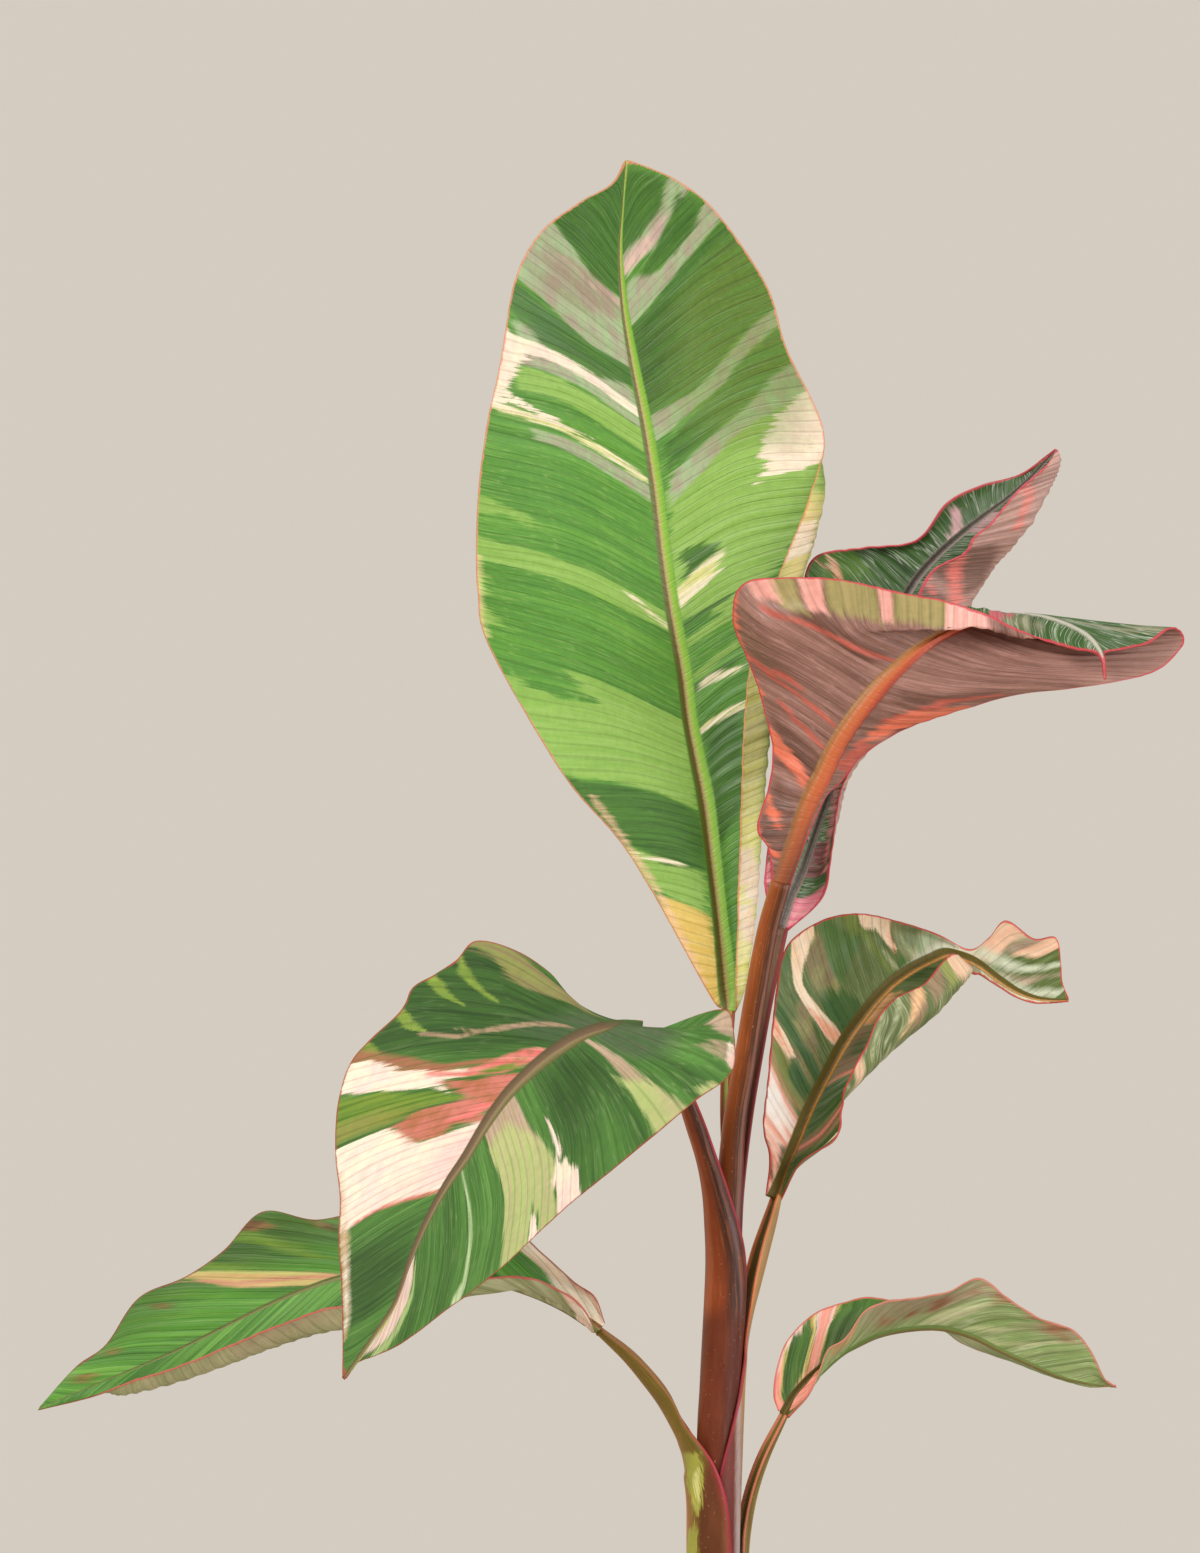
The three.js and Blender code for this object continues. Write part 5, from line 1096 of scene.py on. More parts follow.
leafG = {
    "name": "leaf_g", "slot": "blade_green", "facing": 1, "seed": 7.5, "slant": (1.0, 1.0), "shine": 0.3,
    "ribWidth": 2.6, "ribHeight": 2.0, "ribShow": 2.0,
    "upper": {"glow": 0.06, "base": [(0, (48, 78, 34)), (0.5, (74, 116, 46)), (1, (92, 130, 56))],
        "vein": (150, 176, 104), "veinShow": 0.2, "margin": (222, 110, 100), "marginWidth": 0.6,
        "gloss": 0.4, "rib": [(0, (90, 78, 34)), (0.5, (112, 96, 44)), (1, (96, 84, 40))]},
    "upperMarks": [
        {"colors": [(216, 196, 108), (226, 210, 140)],
         "both": [[(39, 296, 0.9), (37, 277, 0.7), (34, 268, 0.6)], [(49, 298, 0.7), (45, 291, 0.7),
          (42.6, 277, 0.5)], [(27, 286, 0.5), (26, 276, 0.8), (25.4, 266, 0.8), (26, 259, 0.6)]]},
        {"colors": [(255, 176, 160), (255, 158, 142)],
         "right": [[(27, 250), (38, 260), (43, 271), (46, 283), (43, 283), (38, 272), (33, 265),
          (27, 260)]],
         "both": [[(40, 297), (49, 298), (44, 287), (41, 274.6), (33, 264), (36.6, 273)], [(20, 250),
          (23, 271), (25, 276), (26, 268), (25.6, 262), (27, 257), (25, 252)]]},
        {"colors": [(252, 230, 220), (248, 206, 196)],
         "both": [[(25.6, 275, 0.7), (26.6, 282, 0.8), (29, 289, 0.7), (34, 294, 0.5)], [(41, 295, 0.7),
          (40, 288, 0.4)], [(47, 296, 0.6), (44.6, 290, 0.4)]]},
        {"colors": [(54, 72, 36), (74, 92, 48)], "cover": 0.8, "soft": 1.4,
         "both": [[(43, 279), (46, 288), (54, 293), (56, 288), (50, 285)]]},
    ],
    "under": {"base": [(0, (118, 146, 84)), (0.35, (138, 164, 98)), (0.7, (156, 176, 116)),
        (1, (186, 198, 148))], "vein": (208, 218, 176), "veinShow": 0.55, "margin": (214, 132, 116),
        "marginWidth": 0.5, "gloss": 0.46, "rib": [(0, (120, 100, 50)), (0.5, (142, 120, 70)),
        (0.75, (112, 126, 66)), (1, (104, 136, 66))]},
    "underMarks": [
        {"colors": [(206, 168, 116), (190, 160, 110)], "jag": 3, "soft": 0.7,
         "both": [[(41, 272), (44, 282), (55, 287), (44, 274)]]},
        {"colors": [(160, 150, 116), (176, 152, 128)], "by": "cloud", "cover": 0.85, "soft": 1.6,
         "both": [[(56, 290), (62, 300), (92, 304), (106, 311), (112, 305), (122, 299), (92, 298),
          (78, 296), (68, 290)], [(126, 297), (142, 291), (151, 280), (144, 284), (126, 292)]]},
        {"colors": [(214, 218, 164), (224, 226, 184)], "cover": 0.85, "jag": 3, "soft": 0.8,
         "both": [[(78, 290), (88, 296), (104, 300), (112, 300), (104, 296), (92, 292)], [(96, 286, 0.4),
          (110, 284, 0.7), (128, 283, 0.7), (146, 285, 0.6)], [(100, 290, 0.5), (116, 289, 0.6),
          (132, 290, 0.4)]]},
        {"colors": [(196, 212, 176), (212, 220, 192)], "cover": 0.8, "jag": 3, "soft": 1,
         "both": [[(84, 289), (98, 286), (128, 271), (98, 281)]]},
        {"colors": [(178, 118, 88), (150, 98, 70)], "by": "cloud", "cover": 0.85, "jag": 3,
         "both": [[(64.6, 290.4), (66, 294.6), (70.6, 293)], [(76, 295), (78, 297.4), (82, 296.6),
          (79, 294.6)], [(84, 297), (88, 301), (92, 303), (95, 301.4), (88, 297)], [(101, 304), (104, 306),
          (105, 304)], [(112, 304), (114, 304), (114, 300.6), (112, 300)], [(124.6, 296), (126, 296),
          (126, 294), (125, 294)], [(130, 292.6), (132, 293), (133.6, 288.4), (131, 289)], [(136, 288),
          (139, 287.6), (143, 284.4), (139, 284.6)], [(154.6, 269), (158, 267.6), (163, 267.6),
          (158, 265.6)]]},
        {"colors": [(236, 158, 142), (240, 182, 166)],
         "both": [[(104, 309), (106, 311), (108.6, 309), (106.6, 307)], [(23, 252, 1), (30, 259, 0.8),
          (37, 262, 0.7)]]},
    ],
    "rows": [
        [[27, 8, 255.5], [[24.8, 8.6, 257]], [[29.2, 7.4, 254]]],
        [[31, 9, 262], [[27, 10, 264], [23, 9, 263]], [[34, 5, 261.5], [37, 1, 263]]],
        [[36, 10, 268], [[30, 12, 275], [24, 11, 273]], [[40, 5, 268.5], [41, 0, 272]]],
        [[42, 11.5, 273.5], [[36, 14, 286], [28.5, 14, 285]], [[45, 6, 277], [45, 0, 281.5]]],
        [[49, 13, 279.5], [[44, 17, 292], [39, 18, 295.6]], [[52, 7, 283], [52, 1, 286]]],
        [[57, 14.5, 284], [[54, 19, 297], [51, 21, 300]], [[59, 8, 290], [59, 2, 296]]],
        [[65, 16, 287.5], [[63, 21, 298], [61.5, 23, 302.3]], [[67, 9, 294], [68, 3, 300.5]]],
        [[74, 17.5, 289.5], [[75, 24, 296], [76, 27, 299]], [[76, 10, 297], [79, 4, 302]]],
        [[84, 19, 290.3], [[86, 27, 292], [88, 31, 292]], [[88, 11, 299], [93, 6, 304.5]]],
        [[93, 20, 289.6], [[96, 28, 287], [98, 33, 284.5]], [[99, 12, 300], [105.5, 8, 310]]],
        [[103, 21.5, 286.5], [[106, 29, 282.5], [109, 34, 280]], [[110, 14, 297], [117, 10, 302]]],
        [[114, 23, 281], [[118, 29, 277.5], [121, 33, 275.5]], [[121, 17, 290], [129.5, 13, 294]]],
        [[126, 25, 275.5], [[130, 29, 272.5], [133, 32, 271.3]], [[133, 20, 284], [142.5, 17, 289.5]]],
        [[138, 27, 270.5], [[142, 29, 268.6], [145, 31, 267.5]], [[144, 24, 276], [150, 22, 281]]],
        [[148.5, 28.5, 268], [[151, 29.5, 266.8], [152, 30, 266.4]], [[152, 27, 271], [155.5, 26, 270]]],
        [[160, 30, 266.6], [[160, 30, 267.2]], [[160, 30, 266]]],
    ],
}

leaves = (leafA, leafB, leafC, leafD, leafE, leafF, leafG)


# Axis of the pseudostem: its place in x at heights
stemAxis = ((90, 0), (170, 0), (200, -0.3), (230, 0.5), (260, 1.5), (280, 2.4), (300, 3.6),
            (320, 4.4), (340, 5), (400, 5.4))

# Sections of each stalk from the foot up.
# ring: height, outer radius, wrap, wall. open: x, y, z, depth radius, side radius, wrap, wall, edge wall.
# back: compass angle of the side turned away from the blade's upper side. across: colours over the back; on
# the stalks of leaves B and D they also hold painted light and shade.

stalks = [
    {"name": "leaf_a_stalk", "slot": "stalk_green", "sheath": 250, "sheathEdge": (150, 70, 52), "back": 90,
     "ring": [[90, 2.7, 125, 2.4], [230, 2.7, 125, 2.4], [300, 2.7, 125, 2.4], [330, 2.6, 125, 2.3]],
     "open": [[4.6, 1.1, 351, 2.3, 2.3, 120, 2.0, 1.1], [3.8, 1.9, 377, 2.2, 2.2, 120, 2.0, 1.1],
     [4.4, 2.7, 401, 2.3, 2.3, 115, 2.1, 1.1], [5.1, 3.4, 415.4, 2.4, 2.6, 100, 2.2, 1.1]],
     "across": [(0, (126, 122, 58)), (0.5, (158, 168, 84)), (1, (120, 110, 52))],
     "inside": (170, 174, 92), "streak": (186, 186, 112), "freckle": (206, 190, 140), "edge": (150, 70, 52)},
    {"name": "leaf_b_stalk", "slot": "stalk_copper", "sheath": 240, "sheathEdge": (104, 42, 44),
     "back": -110, "ring": [[90, 6.3, 82, 3], [230, 6.3, 82, 3], [300, 6.3, 82, 3], [332, 6.3, 82, 3]],
     "open": [[6, -0.9, 350, 5.6, 5.6, 84, 2.5, 1.4], [7.6, -1.9, 373, 4.8, 4.8, 90, 3.4, 1.8],
     [11.6, -4, 397, 4.5, 4.5, 95, 3.8, 1.6], [15.3, -8, 420, 4.4, 4.4, 97, 3.9, 1.5],
     [20.4, -15.5, 448, 4.2, 4.2, 97, 3.8, 1.5], [25.85, -22.9, 467.4, 3.9, 4.1, 92, 3.6, 1.5]],
     # Colours across leaf B's stalk: its own copper and brown, with two pale painted highlight stripes and
     # one side darkened as painted shade.
     "across": [(0.08, (150, 112, 96)), (0.2, (166, 104, 70)), (0.32, (156, 84, 42)), (0.48, (138, 70, 30)),
     (0.64, (100, 52, 28)), (0.76, (76, 44, 32)), (0.84, (128, 94, 84)), (0.94, (84, 50, 44))],
     "inside": (104, 72, 54), "streak": (176, 100, 50), "freckle": (214, 160, 110), "edge": (104, 42, 44)},
    {"name": "leaf_c_stalk", "slot": "stalk_copper", "sheath": 240, "sheathEdge": (134, 56, 60), "back": 70,
     "ring": [[90, 6.3, 82, 3], [230, 6.3, 82, 3], [300, 6.3, 82, 3], [332, 5.9, 80, 2.6]],
     "open": [[6.8, 2.0, 351, 5.0, 5.2, 80, 2.3, 1.4], [11.2, 3.8, 377, 3.7, 4.1, 92, 2.8, 1.4],
     [15.4, 4.6, 400, 3.5, 3.7, 100, 2.8, 1.3], [19.6, 5, 422, 3.3, 3.5, 100, 2.7, 1.3],
     [25.6, 5, 449.2, 3.1, 3.3, 95, 2.6, 1.2]], "across": [(0, (104, 74, 62)), (0.5, (124, 90, 72)),
     (1, (112, 78, 64))], "inside": (116, 86, 70), "streak": (140, 106, 84), "freckle": (190, 150, 120),
     "edge": (134, 56, 60)},
    {"name": "leaf_d_stalk", "slot": "stalk_copper", "sheath": 240, "sheathEdge": (168, 52, 70),
     "back": 215, "ring": [[90, 8.4, 152, 1.6], [230, 8.4, 152, 1.6], [268, 8.4, 150, 1.6],
     [300, 8.5, 140, 1.7]], "open": [[4.2, -0.3, 318, 8.5, 8.5, 122, 1.8, 1.4],
     [3.2, -1.5, 332, 8, 8, 104, 2.1, 1.2], [1.0, -4.4, 345, 6.8, 6.7, 95, 2.7, 1.2],
     [-2.8, -9, 358, 5.4, 5.2, 100, 3.4, 1.2], [-7.8, -16, 372, 4.6, 4.9, 106, 3.6, 1.3],
     [-13.4, -23.6, 387, 3.8, 3.9, 106, 3.4, 1.3], [-18, -30.4, 398.5, 3.5, 3.7, 102, 3.2, 1.3],
     [-22.4, -35.8, 405.4, 3.3, 3.5, 98, 3.0, 1.3], [-26.2, -39.4, 408.4, 2.9, 3.2, 88, 2.7, 1.3]],
     # Colours across leaf D's stalk: its own copper and red-brown, with painted light on one side, painted
     # shade on the other, and a grey-mauve painted highlight stripe.
     "across": [(0.34, (110, 48, 34)), (0.42, (168, 88, 54)), (0.5, (182, 102, 64)), (0.58, (150, 70, 34)),
     (0.68, (128, 58, 28)), (0.75, (72, 40, 28)), (0.82, (66, 42, 36)), (0.87, (112, 84, 82)),
     (0.92, (70, 40, 36)), (1, (112, 42, 46))], "inside": (116, 76, 52), "streak": (176, 98, 52),
     "freckle": (232, 176, 136), "edge": (168, 52, 70),
     "marks": [
         {"colors": [(92, 40, 26)], "cover": 0.7, "jag": 3, "soft": 4,
          "places": [[(-9, 296), (13, 296), (13, 88), (-12, 88)]]},
     ]},
    {"name": "leaf_f_stalk", "slot": "stalk_olive", "sheath": 190, "sheathEdge": (150, 44, 60), "back": 30,
     "ring": [[90, 9.8, 150, 0.9], [186, 9.8, 150, 0.9], [204, 9.8, 138, 0.9], [220, 9.8, 126, 0.9],
     [234, 9.9, 112, 1.0], [246, 9.9, 94, 1.0], [257, 10, 76, 1.1], [267, 10, 60, 1.2]],
     "open": [[3.4, 0.7, 281, 9.5, 9.5, 50, 1.2, 1], [9.9, 4.5, 296, 5.2, 5.2, 75, 2.2, 1.2],
     [13.3, 7, 308, 4.8, 4.8, 94, 2.9, 1.2], [17.3, 11, 322, 4.4, 4.4, 105, 3.2, 1.2],
     [20.8, 15.8, 333.6, 3.8, 3.9, 102, 3.0, 1.2], [22.95, 19.7, 341.3, 3.1, 3.3, 95, 2.7, 1.2]],
     "across": [(0, (170, 136, 92)), (0.2, (164, 126, 78)), (0.5, (144, 106, 62)), (0.8, (104, 74, 56)),
     (1, (112, 52, 52))], "inside": (104, 90, 34), "streak": (158, 124, 74), "freckle": (206, 180, 130),
     "edge": (222, 128, 78),
     "marks": [
         # The sheath's own dark red, deepened as painted shade on its outer face.
         {"colors": [(104, 34, 40)], "cover": 0.92, "jag": 2, "soft": 2,
          "places": [[(-2, 232), (4, 246), (9, 262), (9, 88), (-4, 88)]]},
         # Painted highlight: a grey-purple reflection stripe along the sheath.
         {"colors": [(186, 172, 176)], "cover": 0.7, "jag": 2, "soft": 0.8,
          "places": [[(8.4, 262), (10, 262), (10, 196), (7.6, 196)]]},
     ]},
    {"name": "leaf_e_stalk", "slot": "stalk_olive", "sheath": 150, "sheathEdge": (172, 50, 66), "back": 185,
     "ring": [[90, 11.5, 150, 1.2], [158, 11.5, 150, 1.2], [174, 11.5, 136, 1.2], [188, 11.5, 127, 1.2],
     [203, 11.7, 118, 1.3], [220, 12.2, 106, 1.6]], "open": [[-0.9, 0, 233, 12.4, 11.6, 92, 1.9, 1.2],
     [-4.4, -0.3, 241, 10, 10.7, 88, 2.2, 1.2], [-9, -1, 247.6, 7.6, 8, 88, 2.7, 1.2],
     [-14, -2.2, 253.6, 5.3, 5.5, 95, 3.2, 1.2], [-19.2, -4, 262.1, 5.0, 4.7, 106, 3.2, 1.2],
     [-26, -6.6, 270.8, 4.7, 4.3, 108, 3.0, 1.2], [-34.5, -9.6, 280.1, 4.1, 3.9, 104, 2.8, 1.2],
     [-45, -12.7, 288.8, 2.8, 3, 95, 2.5, 1.2]], "across": [(0, (126, 96, 54)), (0.42, (206, 124, 84)),
     (0.5, (216, 142, 98)), (0.58, (158, 112, 58)), (0.68, (138, 112, 48)), (0.88, (112, 94, 34)),
     (1, (116, 90, 40))], "inside": (130, 108, 54), "streak": (150, 122, 58), "freckle": (212, 186, 130),
     "edge": (150, 104, 58),
     "marks": [
         {"colors": [(98, 46, 26)], "cover": 0.9, "jag": 3, "soft": 2,
          "places": [[(-8, 222), (-3, 240), (4, 232), (4, 88), (-6, 88)]]},
         {"colors": [(150, 46, 52)], "cover": 0.8, "jag": 2, "soft": 1.6,
          "places": [[(-6, 246), (-1, 240), (6, 222), (9, 88), (6.4, 88), (3.6, 216), (-2.6, 238)]]},
         {"colors": [(172, 174, 76)], "cover": 0.9, "jag": 7, "soft": 0.5,
          "places": [[(-13, 240), (-7, 240), (-5, 230), (-6, 218), (-8, 214), (-11, 224)], [(-12, 208),
           (-8, 212), (-7, 196), (-11, 190)]]},
         {"colors": [(226, 222, 150)], "cover": 0.8, "jag": 5, "soft": 0.5,
          "places": [[(-9, 232), (-7, 234), (-6.4, 222), (-8, 218)]]},
     ]},
    {"name": "leaf_g_stalk", "slot": "stalk_olive", "sheath": 95, "sheathEdge": (140, 60, 50), "back": 25,
     "ring": [[90, 13.2, 150, 1.1], [126, 13.2, 150, 1.1], [140, 13.2, 132, 1.1], [152, 13.2, 114, 1.1],
     [164, 13.2, 92, 1.1], [175, 13.2, 68, 1.2]], "open": [[5.8, 4.6, 187, 7.8, 8.4, 62, 2.2, 1.2],
     [8.6, 7.2, 197, 4.6, 4.8, 88, 2.6, 1.2], [10.4, 8.4, 209, 3.7, 3.8, 105, 2.7, 1.2],
     [13.5, 8.6, 224, 3.3, 3.4, 108, 2.5, 1.2], [18.7, 8.2, 239, 3.0, 3.1, 106, 2.3, 1.1],
     [26.2, 8, 254.4, 2.3, 2.4, 95, 2.1, 1.1]], "across": [(0, (96, 76, 34)), (0.3, (138, 114, 54)),
     (0.6, (146, 120, 58)), (0.85, (130, 104, 50)), (1, (112, 84, 46))], "inside": (114, 110, 46),
     "streak": (158, 134, 66), "freckle": (206, 184, 124), "edge": (214, 128, 100)},
]


# Stalks: open troughs that start as sheaths round the younger leaves

stalk = {
    "points": 27,  # over the back, and as many inside
    "split": 8,  # fine sections to a section
    "intoBlade": 1.5,
    "edgeWidth": 0.7,
    "openingLength": 25,  # over which the sheath's edge colour gives way to the stalk's
}


def stalkStations(one):
    heights = [a[0] for a in stemAxis]
    places = [a[1] for a in stemAxis]
    rings = [np.array((np.interp(z, heights, places), 0, z, r, r, wrap, wall, wall), dtype=float)
             for z, r, wrap, wall in one["ring"]]
    opened = [placed(p) for p in one["open"]]
    ahead = opened[-1][:3] - opened[-2][:3]
    opened[-1][:3] += ahead / np.linalg.norm(ahead) * stalk["intoBlade"]
    return np.array(rings + opened)


def makeStalk(one):
    stations = stalkStations(one)
    ringCount = len(one["ring"])
    angle = math.radians(one["back"])
    fineCount = (len(stations) - 1) * stalk["split"] + 1
    fine = np.array([smoothPoint(stations, k / (fineCount - 1)) for k in range(fineCount)])
    directions = np.gradient(fine[:, :3], axis=0)
    lengths = np.concatenate(((0,), np.cumsum(np.linalg.norm(np.diff(fine[:, :3], axis=0), axis=1))))
    points = stalk["points"]
    vertices, place, inner = [], [], []
    for k, station in enumerate(fine):
        x, y, z, depth, side, wrap, wallBack, wallEdge = station
        along = directions[k] / np.linalg.norm(directions[k])
        lean = float(smoothStep(ringCount - 1, ringCount, k / stalk["split"]))
        along = along * lean + np.array((0, 0, 1.0)) * (1 - lean)
        along /= np.linalg.norm(along)
        back = np.array((math.cos(angle), math.sin(angle), 0.0))
        back -= along * back.dot(along)
        back /= np.linalg.norm(back)
        sideways = np.cross(along, back)
        rows = []
        for layer in (0, 1):
            line = []
            for n in range(points):
                share = 2 * n / (points - 1) - 1
                wall = wallBack + (wallEdge - wallBack) * abs(share) ** 1.5
                shrink = wall * layer
                turn = math.radians(wrap) * share
                spot = np.array((x, y, z)) + back * math.cos(turn) * (depth - shrink)
                spot = spot + sideways * math.sin(turn) * (side - shrink)
                toEdge = (1 - abs(share)) * math.radians(wrap) * side
                line.append((spot, (lengths[k], share, toEdge), float(layer)))
            rows.append(line)
        outside, inside = rows
        loop = outside + [edgePoint(outside[-1], inside[-1])]
        loop += inside[::-1] + [edgePoint(inside[0], outside[0])]
        vertices += [v[0] for v in loop]
        place += [v[1] for v in loop]
        inner += [v[2] for v in loop]
    count = 2 * points + 2
    faces = []
    for k in range(fineCount - 1):
        for n in range(count):
            a, b = k * count + n, k * count + (n + 1) % count
            faces.append((a, b, b + count, a + count))
    for start, flip in ((0, True), ((fineCount - 1) * count, False)):
        for n in range(points - 1):
            quad = (start + n, start + n + 1, start + 2 * points - n - 1, start + 2 * points - n)
            faces.append(quad[::-1] if flip else quad)
        for trio in ((points - 1, points, points + 1), (2 * points, 2 * points + 1, 0)):
            corner = tuple(start + n for n in trio)
            faces.append(corner[::-1] if flip else corner)
    name = one["name"]
    vertices = np.array(vertices)
    obj = meshObject(name + "_skin", vertices * mm, faces, [stalkMaterial(one)])
    addAttribute(obj, "stalkPlace", place, "FLOAT_VECTOR")
    addAttribute(obj, "inner", inner)
    x, z = seen(vertices)
    for k, mark in enumerate(one.get("marks", [])):
        fields = [patchField(x, z, shape) for shape in mark["places"]]
        addAttribute(obj, f"mark{k}", np.clip(np.max(fields, axis=0), -fieldLimit, fieldLimit))
    dress(obj, name)
    print("stalk", name, len(faces), "faces")


def edgePoint(first, second):
    return (first[0] + second[0]) / 2, first[1], 0.5


def stalkMaterial(one):
    material, tree = newMaterial(one["name"] + " skin")
    length, turn, edge = separated(tree, attribute(tree, "stalkPlace").outputs["Vector"])
    seed = calc(tree, "ADD", calc(tree, "MULTIPLY", turn, 9.0), one["back"])
    streakPlace = together(tree, seed, calc(tree, "MULTIPLY", length, 0.035))
    streak = noiseAt(tree, streakPlace, 1.1, 3.0, 0.6)
    fine = noiseAt(tree, streakPlace, 4.0, 2.0, 0.6)
    around = objectPlace(tree)
    freckle = noiseAt(tree, stretched(tree, around, (1000, 1000, 700)), 0.9, 3.0, 0.7)
    blotch = noiseAt(tree, stretched(tree, around, (1000, 1000, 500)), 0.12, 3.0, 0.6)
    shifted = calc(tree, "ADD", turn, swing(tree, streak, 0.25))
    color = ramp(tree, remap(tree, shifted, -1.0, 1.0), one["across"])
    color = mixColor(tree, remap(tree, streak, 0.5, 0.66, 0.0, 0.45), color, paint(one["streak"]))
    for k, mark in enumerate(one.get("marks", [])):
        field = attribute(tree, f"mark{k}").outputs["Fac"]
        value = calc(tree, "ADD", field, swing(tree, fine, mark["jag"]))
        factor = remap(tree, value, -mark["soft"], mark["soft"], 0.0, mark["cover"])
        color = mixColor(tree, factor, color, paint(mark["colors"][0]))
    inner = attribute(tree, "inner").outputs["Fac"]
    color = mixColor(tree, remap(tree, inner, 0.5, 0.9), color, paint(one["inside"]))
    color = mixColor(tree, remap(tree, freckle, 0.66, 0.72, 0.0, 0.5), color, paint(one["freckle"]))
    edgeWide = stalk["edgeWidth"]
    opened = remap(tree, length, one["sheath"], one["sheath"] + stalk["openingLength"])
    edgeColor = mixColor(tree, opened, paint(one["sheathEdge"]), paint(one["edge"]))
    color = mixColor(tree, remap(tree, edge, edgeWide, edgeWide + 0.4, 0.9, 0.0), color, edgeColor)
    shade = remap(tree, blotch, 0.3, 0.7, 0.86, 1.1)
    color = scaled(tree, color, shade)
    height = blended(tree, fine, 0.7, freckle, 0.3)
    closeMaterial(tree, color, remap(tree, blotch, 0.3, 0.7, 0.34, 0.5), height, 0.3, 0.0003, shine=0.22)
    return material


# Pot: a profile swept round the axis

potShape = {
    "topRadius": 90.0,
    "footRadius": 64.0,
    "height": 150.0,
    "wall": 4.5,
    "rimHeight": 14.0,
    "rimOut": 3.0,
    "innerFloor": 7.0,
    "footRing": 6.0,
    "footRecess": 0.8,
    "steps": 160,
    "rounding": 1.6,
    "color": (226, 220, 209),
    "darker": (214, 206, 194),
    "speck": (120, 104, 88),
}


def roundedCorners(points, radius, steps=4):
    result = [points[0]]
    for before, corner, after in zip(points, points[1:], points[2:]):
        corner = Vector(corner)
        ways = [Vector(p) - corner for p in (before, after)]
        reach = min(radius, ways[0].length * 0.45, ways[1].length * 0.45)
        start, end = corner + ways[0].normalized() * reach, corner + ways[1].normalized() * reach
        for k in range(steps + 1):
            t = k / steps
            result.append(tuple(start * (1 - t) ** 2 + corner * (2 * t * (1 - t)) + end * t * t))
    return result + [points[-1]]


def potProfile():
    top, foot, height = potShape["topRadius"], potShape["footRadius"], potShape["height"]
    rimFoot = height - potShape["rimHeight"]
    outer = top + potShape["rimOut"]
    inTop, inFoot = top - potShape["wall"], foot - potShape["wall"]
    wallAtRim = foot + (top - foot) * rimFoot / height
    floorZ = potShape["innerFloor"]
    ring, recess = foot - potShape["footRing"], potShape["footRecess"]
    middle = [(foot + (wallAtRim - foot) * k / 6, rimFoot * k / 6) for k in range(1, 6)]
    outside = [(0, recess), (ring - 1, recess), (ring, 0), (foot, 0), *middle, (wallAtRim, rimFoot)]
    inside = [(inTop, height), (inFoot, floorZ), (0, floorZ)]
    return roundedCorners([*outside, (outer, rimFoot + 1), (outer, height), *inside], potShape["rounding"])


def addInputs(tree, kinds):  # named inputs and one output: the sockets by name
    face = tree.interface
    face.new_socket("Result", in_out="OUTPUT", socket_type="NodeSocketGeometry")
    return {name: face.new_socket(name, in_out="INPUT", socket_type="NodeSocket" + kind).identifier
            for name, kind in kinds.items()}


def sweepTree(material):
    tree = bpy.data.node_groups.new("sweep round the axis", "GeometryNodeTree")
    sockets = addInputs(tree, {"Profile": "Geometry", "Steps": "Int", "Path radius": "Float"})
    start = addNode(tree, "NodeGroupInput")
    ring = addNode(tree, "GeometryNodeCurvePrimitiveCircle",
                   {"Resolution": start.outputs["Steps"], "Radius": start.outputs["Path radius"]})
    upright = addNode(tree, "GeometryNodeSetCurveNormal", {"Curve": ring.outputs["Curve"]}, mode="Z_UP")
    profile = addNode(tree, "GeometryNodeMeshToCurve", {"Mesh": start.outputs["Profile"]})
    swept = addNode(tree, "GeometryNodeCurveToMesh",
                    {"Curve": upright.outputs[0], "Profile Curve": profile.outputs[0]})
    merged = addNode(tree, "GeometryNodeMergeByDistance", {0: swept.outputs[0], "Distance": 0.00002})
    smooth = addNode(tree, "GeometryNodeSetShadeSmooth", {"Geometry": merged.outputs[0]})
    real = addNode(tree, "GeometryNodeRealizeInstances", {0: smooth.outputs[0]})
    finished = addNode(tree, "GeometryNodeSetMaterial", {"Geometry": real.outputs[0], "Material": material})
    addNode(tree, "NodeGroupOutput", {0: finished.outputs[0]})
    return tree, sockets


def applyTree(obj, tree, values):  # the tree's result as a plain mesh
    modifier = obj.modifiers.new("nodes", "NODES")
    modifier.node_group = tree
    for identifier, value in values.items():
        modifier[identifier] = value
    depsgraph = bpy.context.evaluated_depsgraph_get()
    mesh = bpy.data.meshes.new_from_object(obj.evaluated_get(depsgraph))
    obj.modifiers.remove(modifier)
    obj.data = mesh


def turnOutward(obj):
    work = bmesh.new()
    work.from_mesh(obj.data)
    bmesh.ops.remove_doubles(work, verts=work.verts, dist=0.00001)
    bmesh.ops.recalc_face_normals(work, faces=work.faces)
    work.to_mesh(obj.data)
    work.free()


def makePot():
    path = 0.1  # the profile is given from the sweep's path
    points = [(r * mm - path, -z * mm, 0) for r, z in potProfile()]
    mesh = bpy.data.meshes.new("pot_profile")
    mesh.from_pydata(points, [(k, k + 1) for k in range(len(points) - 1)], [])
    obj = newObject("pot_ceramic", mesh)
    tree, sockets = sweepTree(potMaterial())
    applyTree(obj, tree, {sockets["Steps"]: potShape["steps"], sockets["Path radius"]: path})
    turnOutward(obj)
    dress(obj, "pot")
    print("pot", len(obj.data.polygons), "faces")


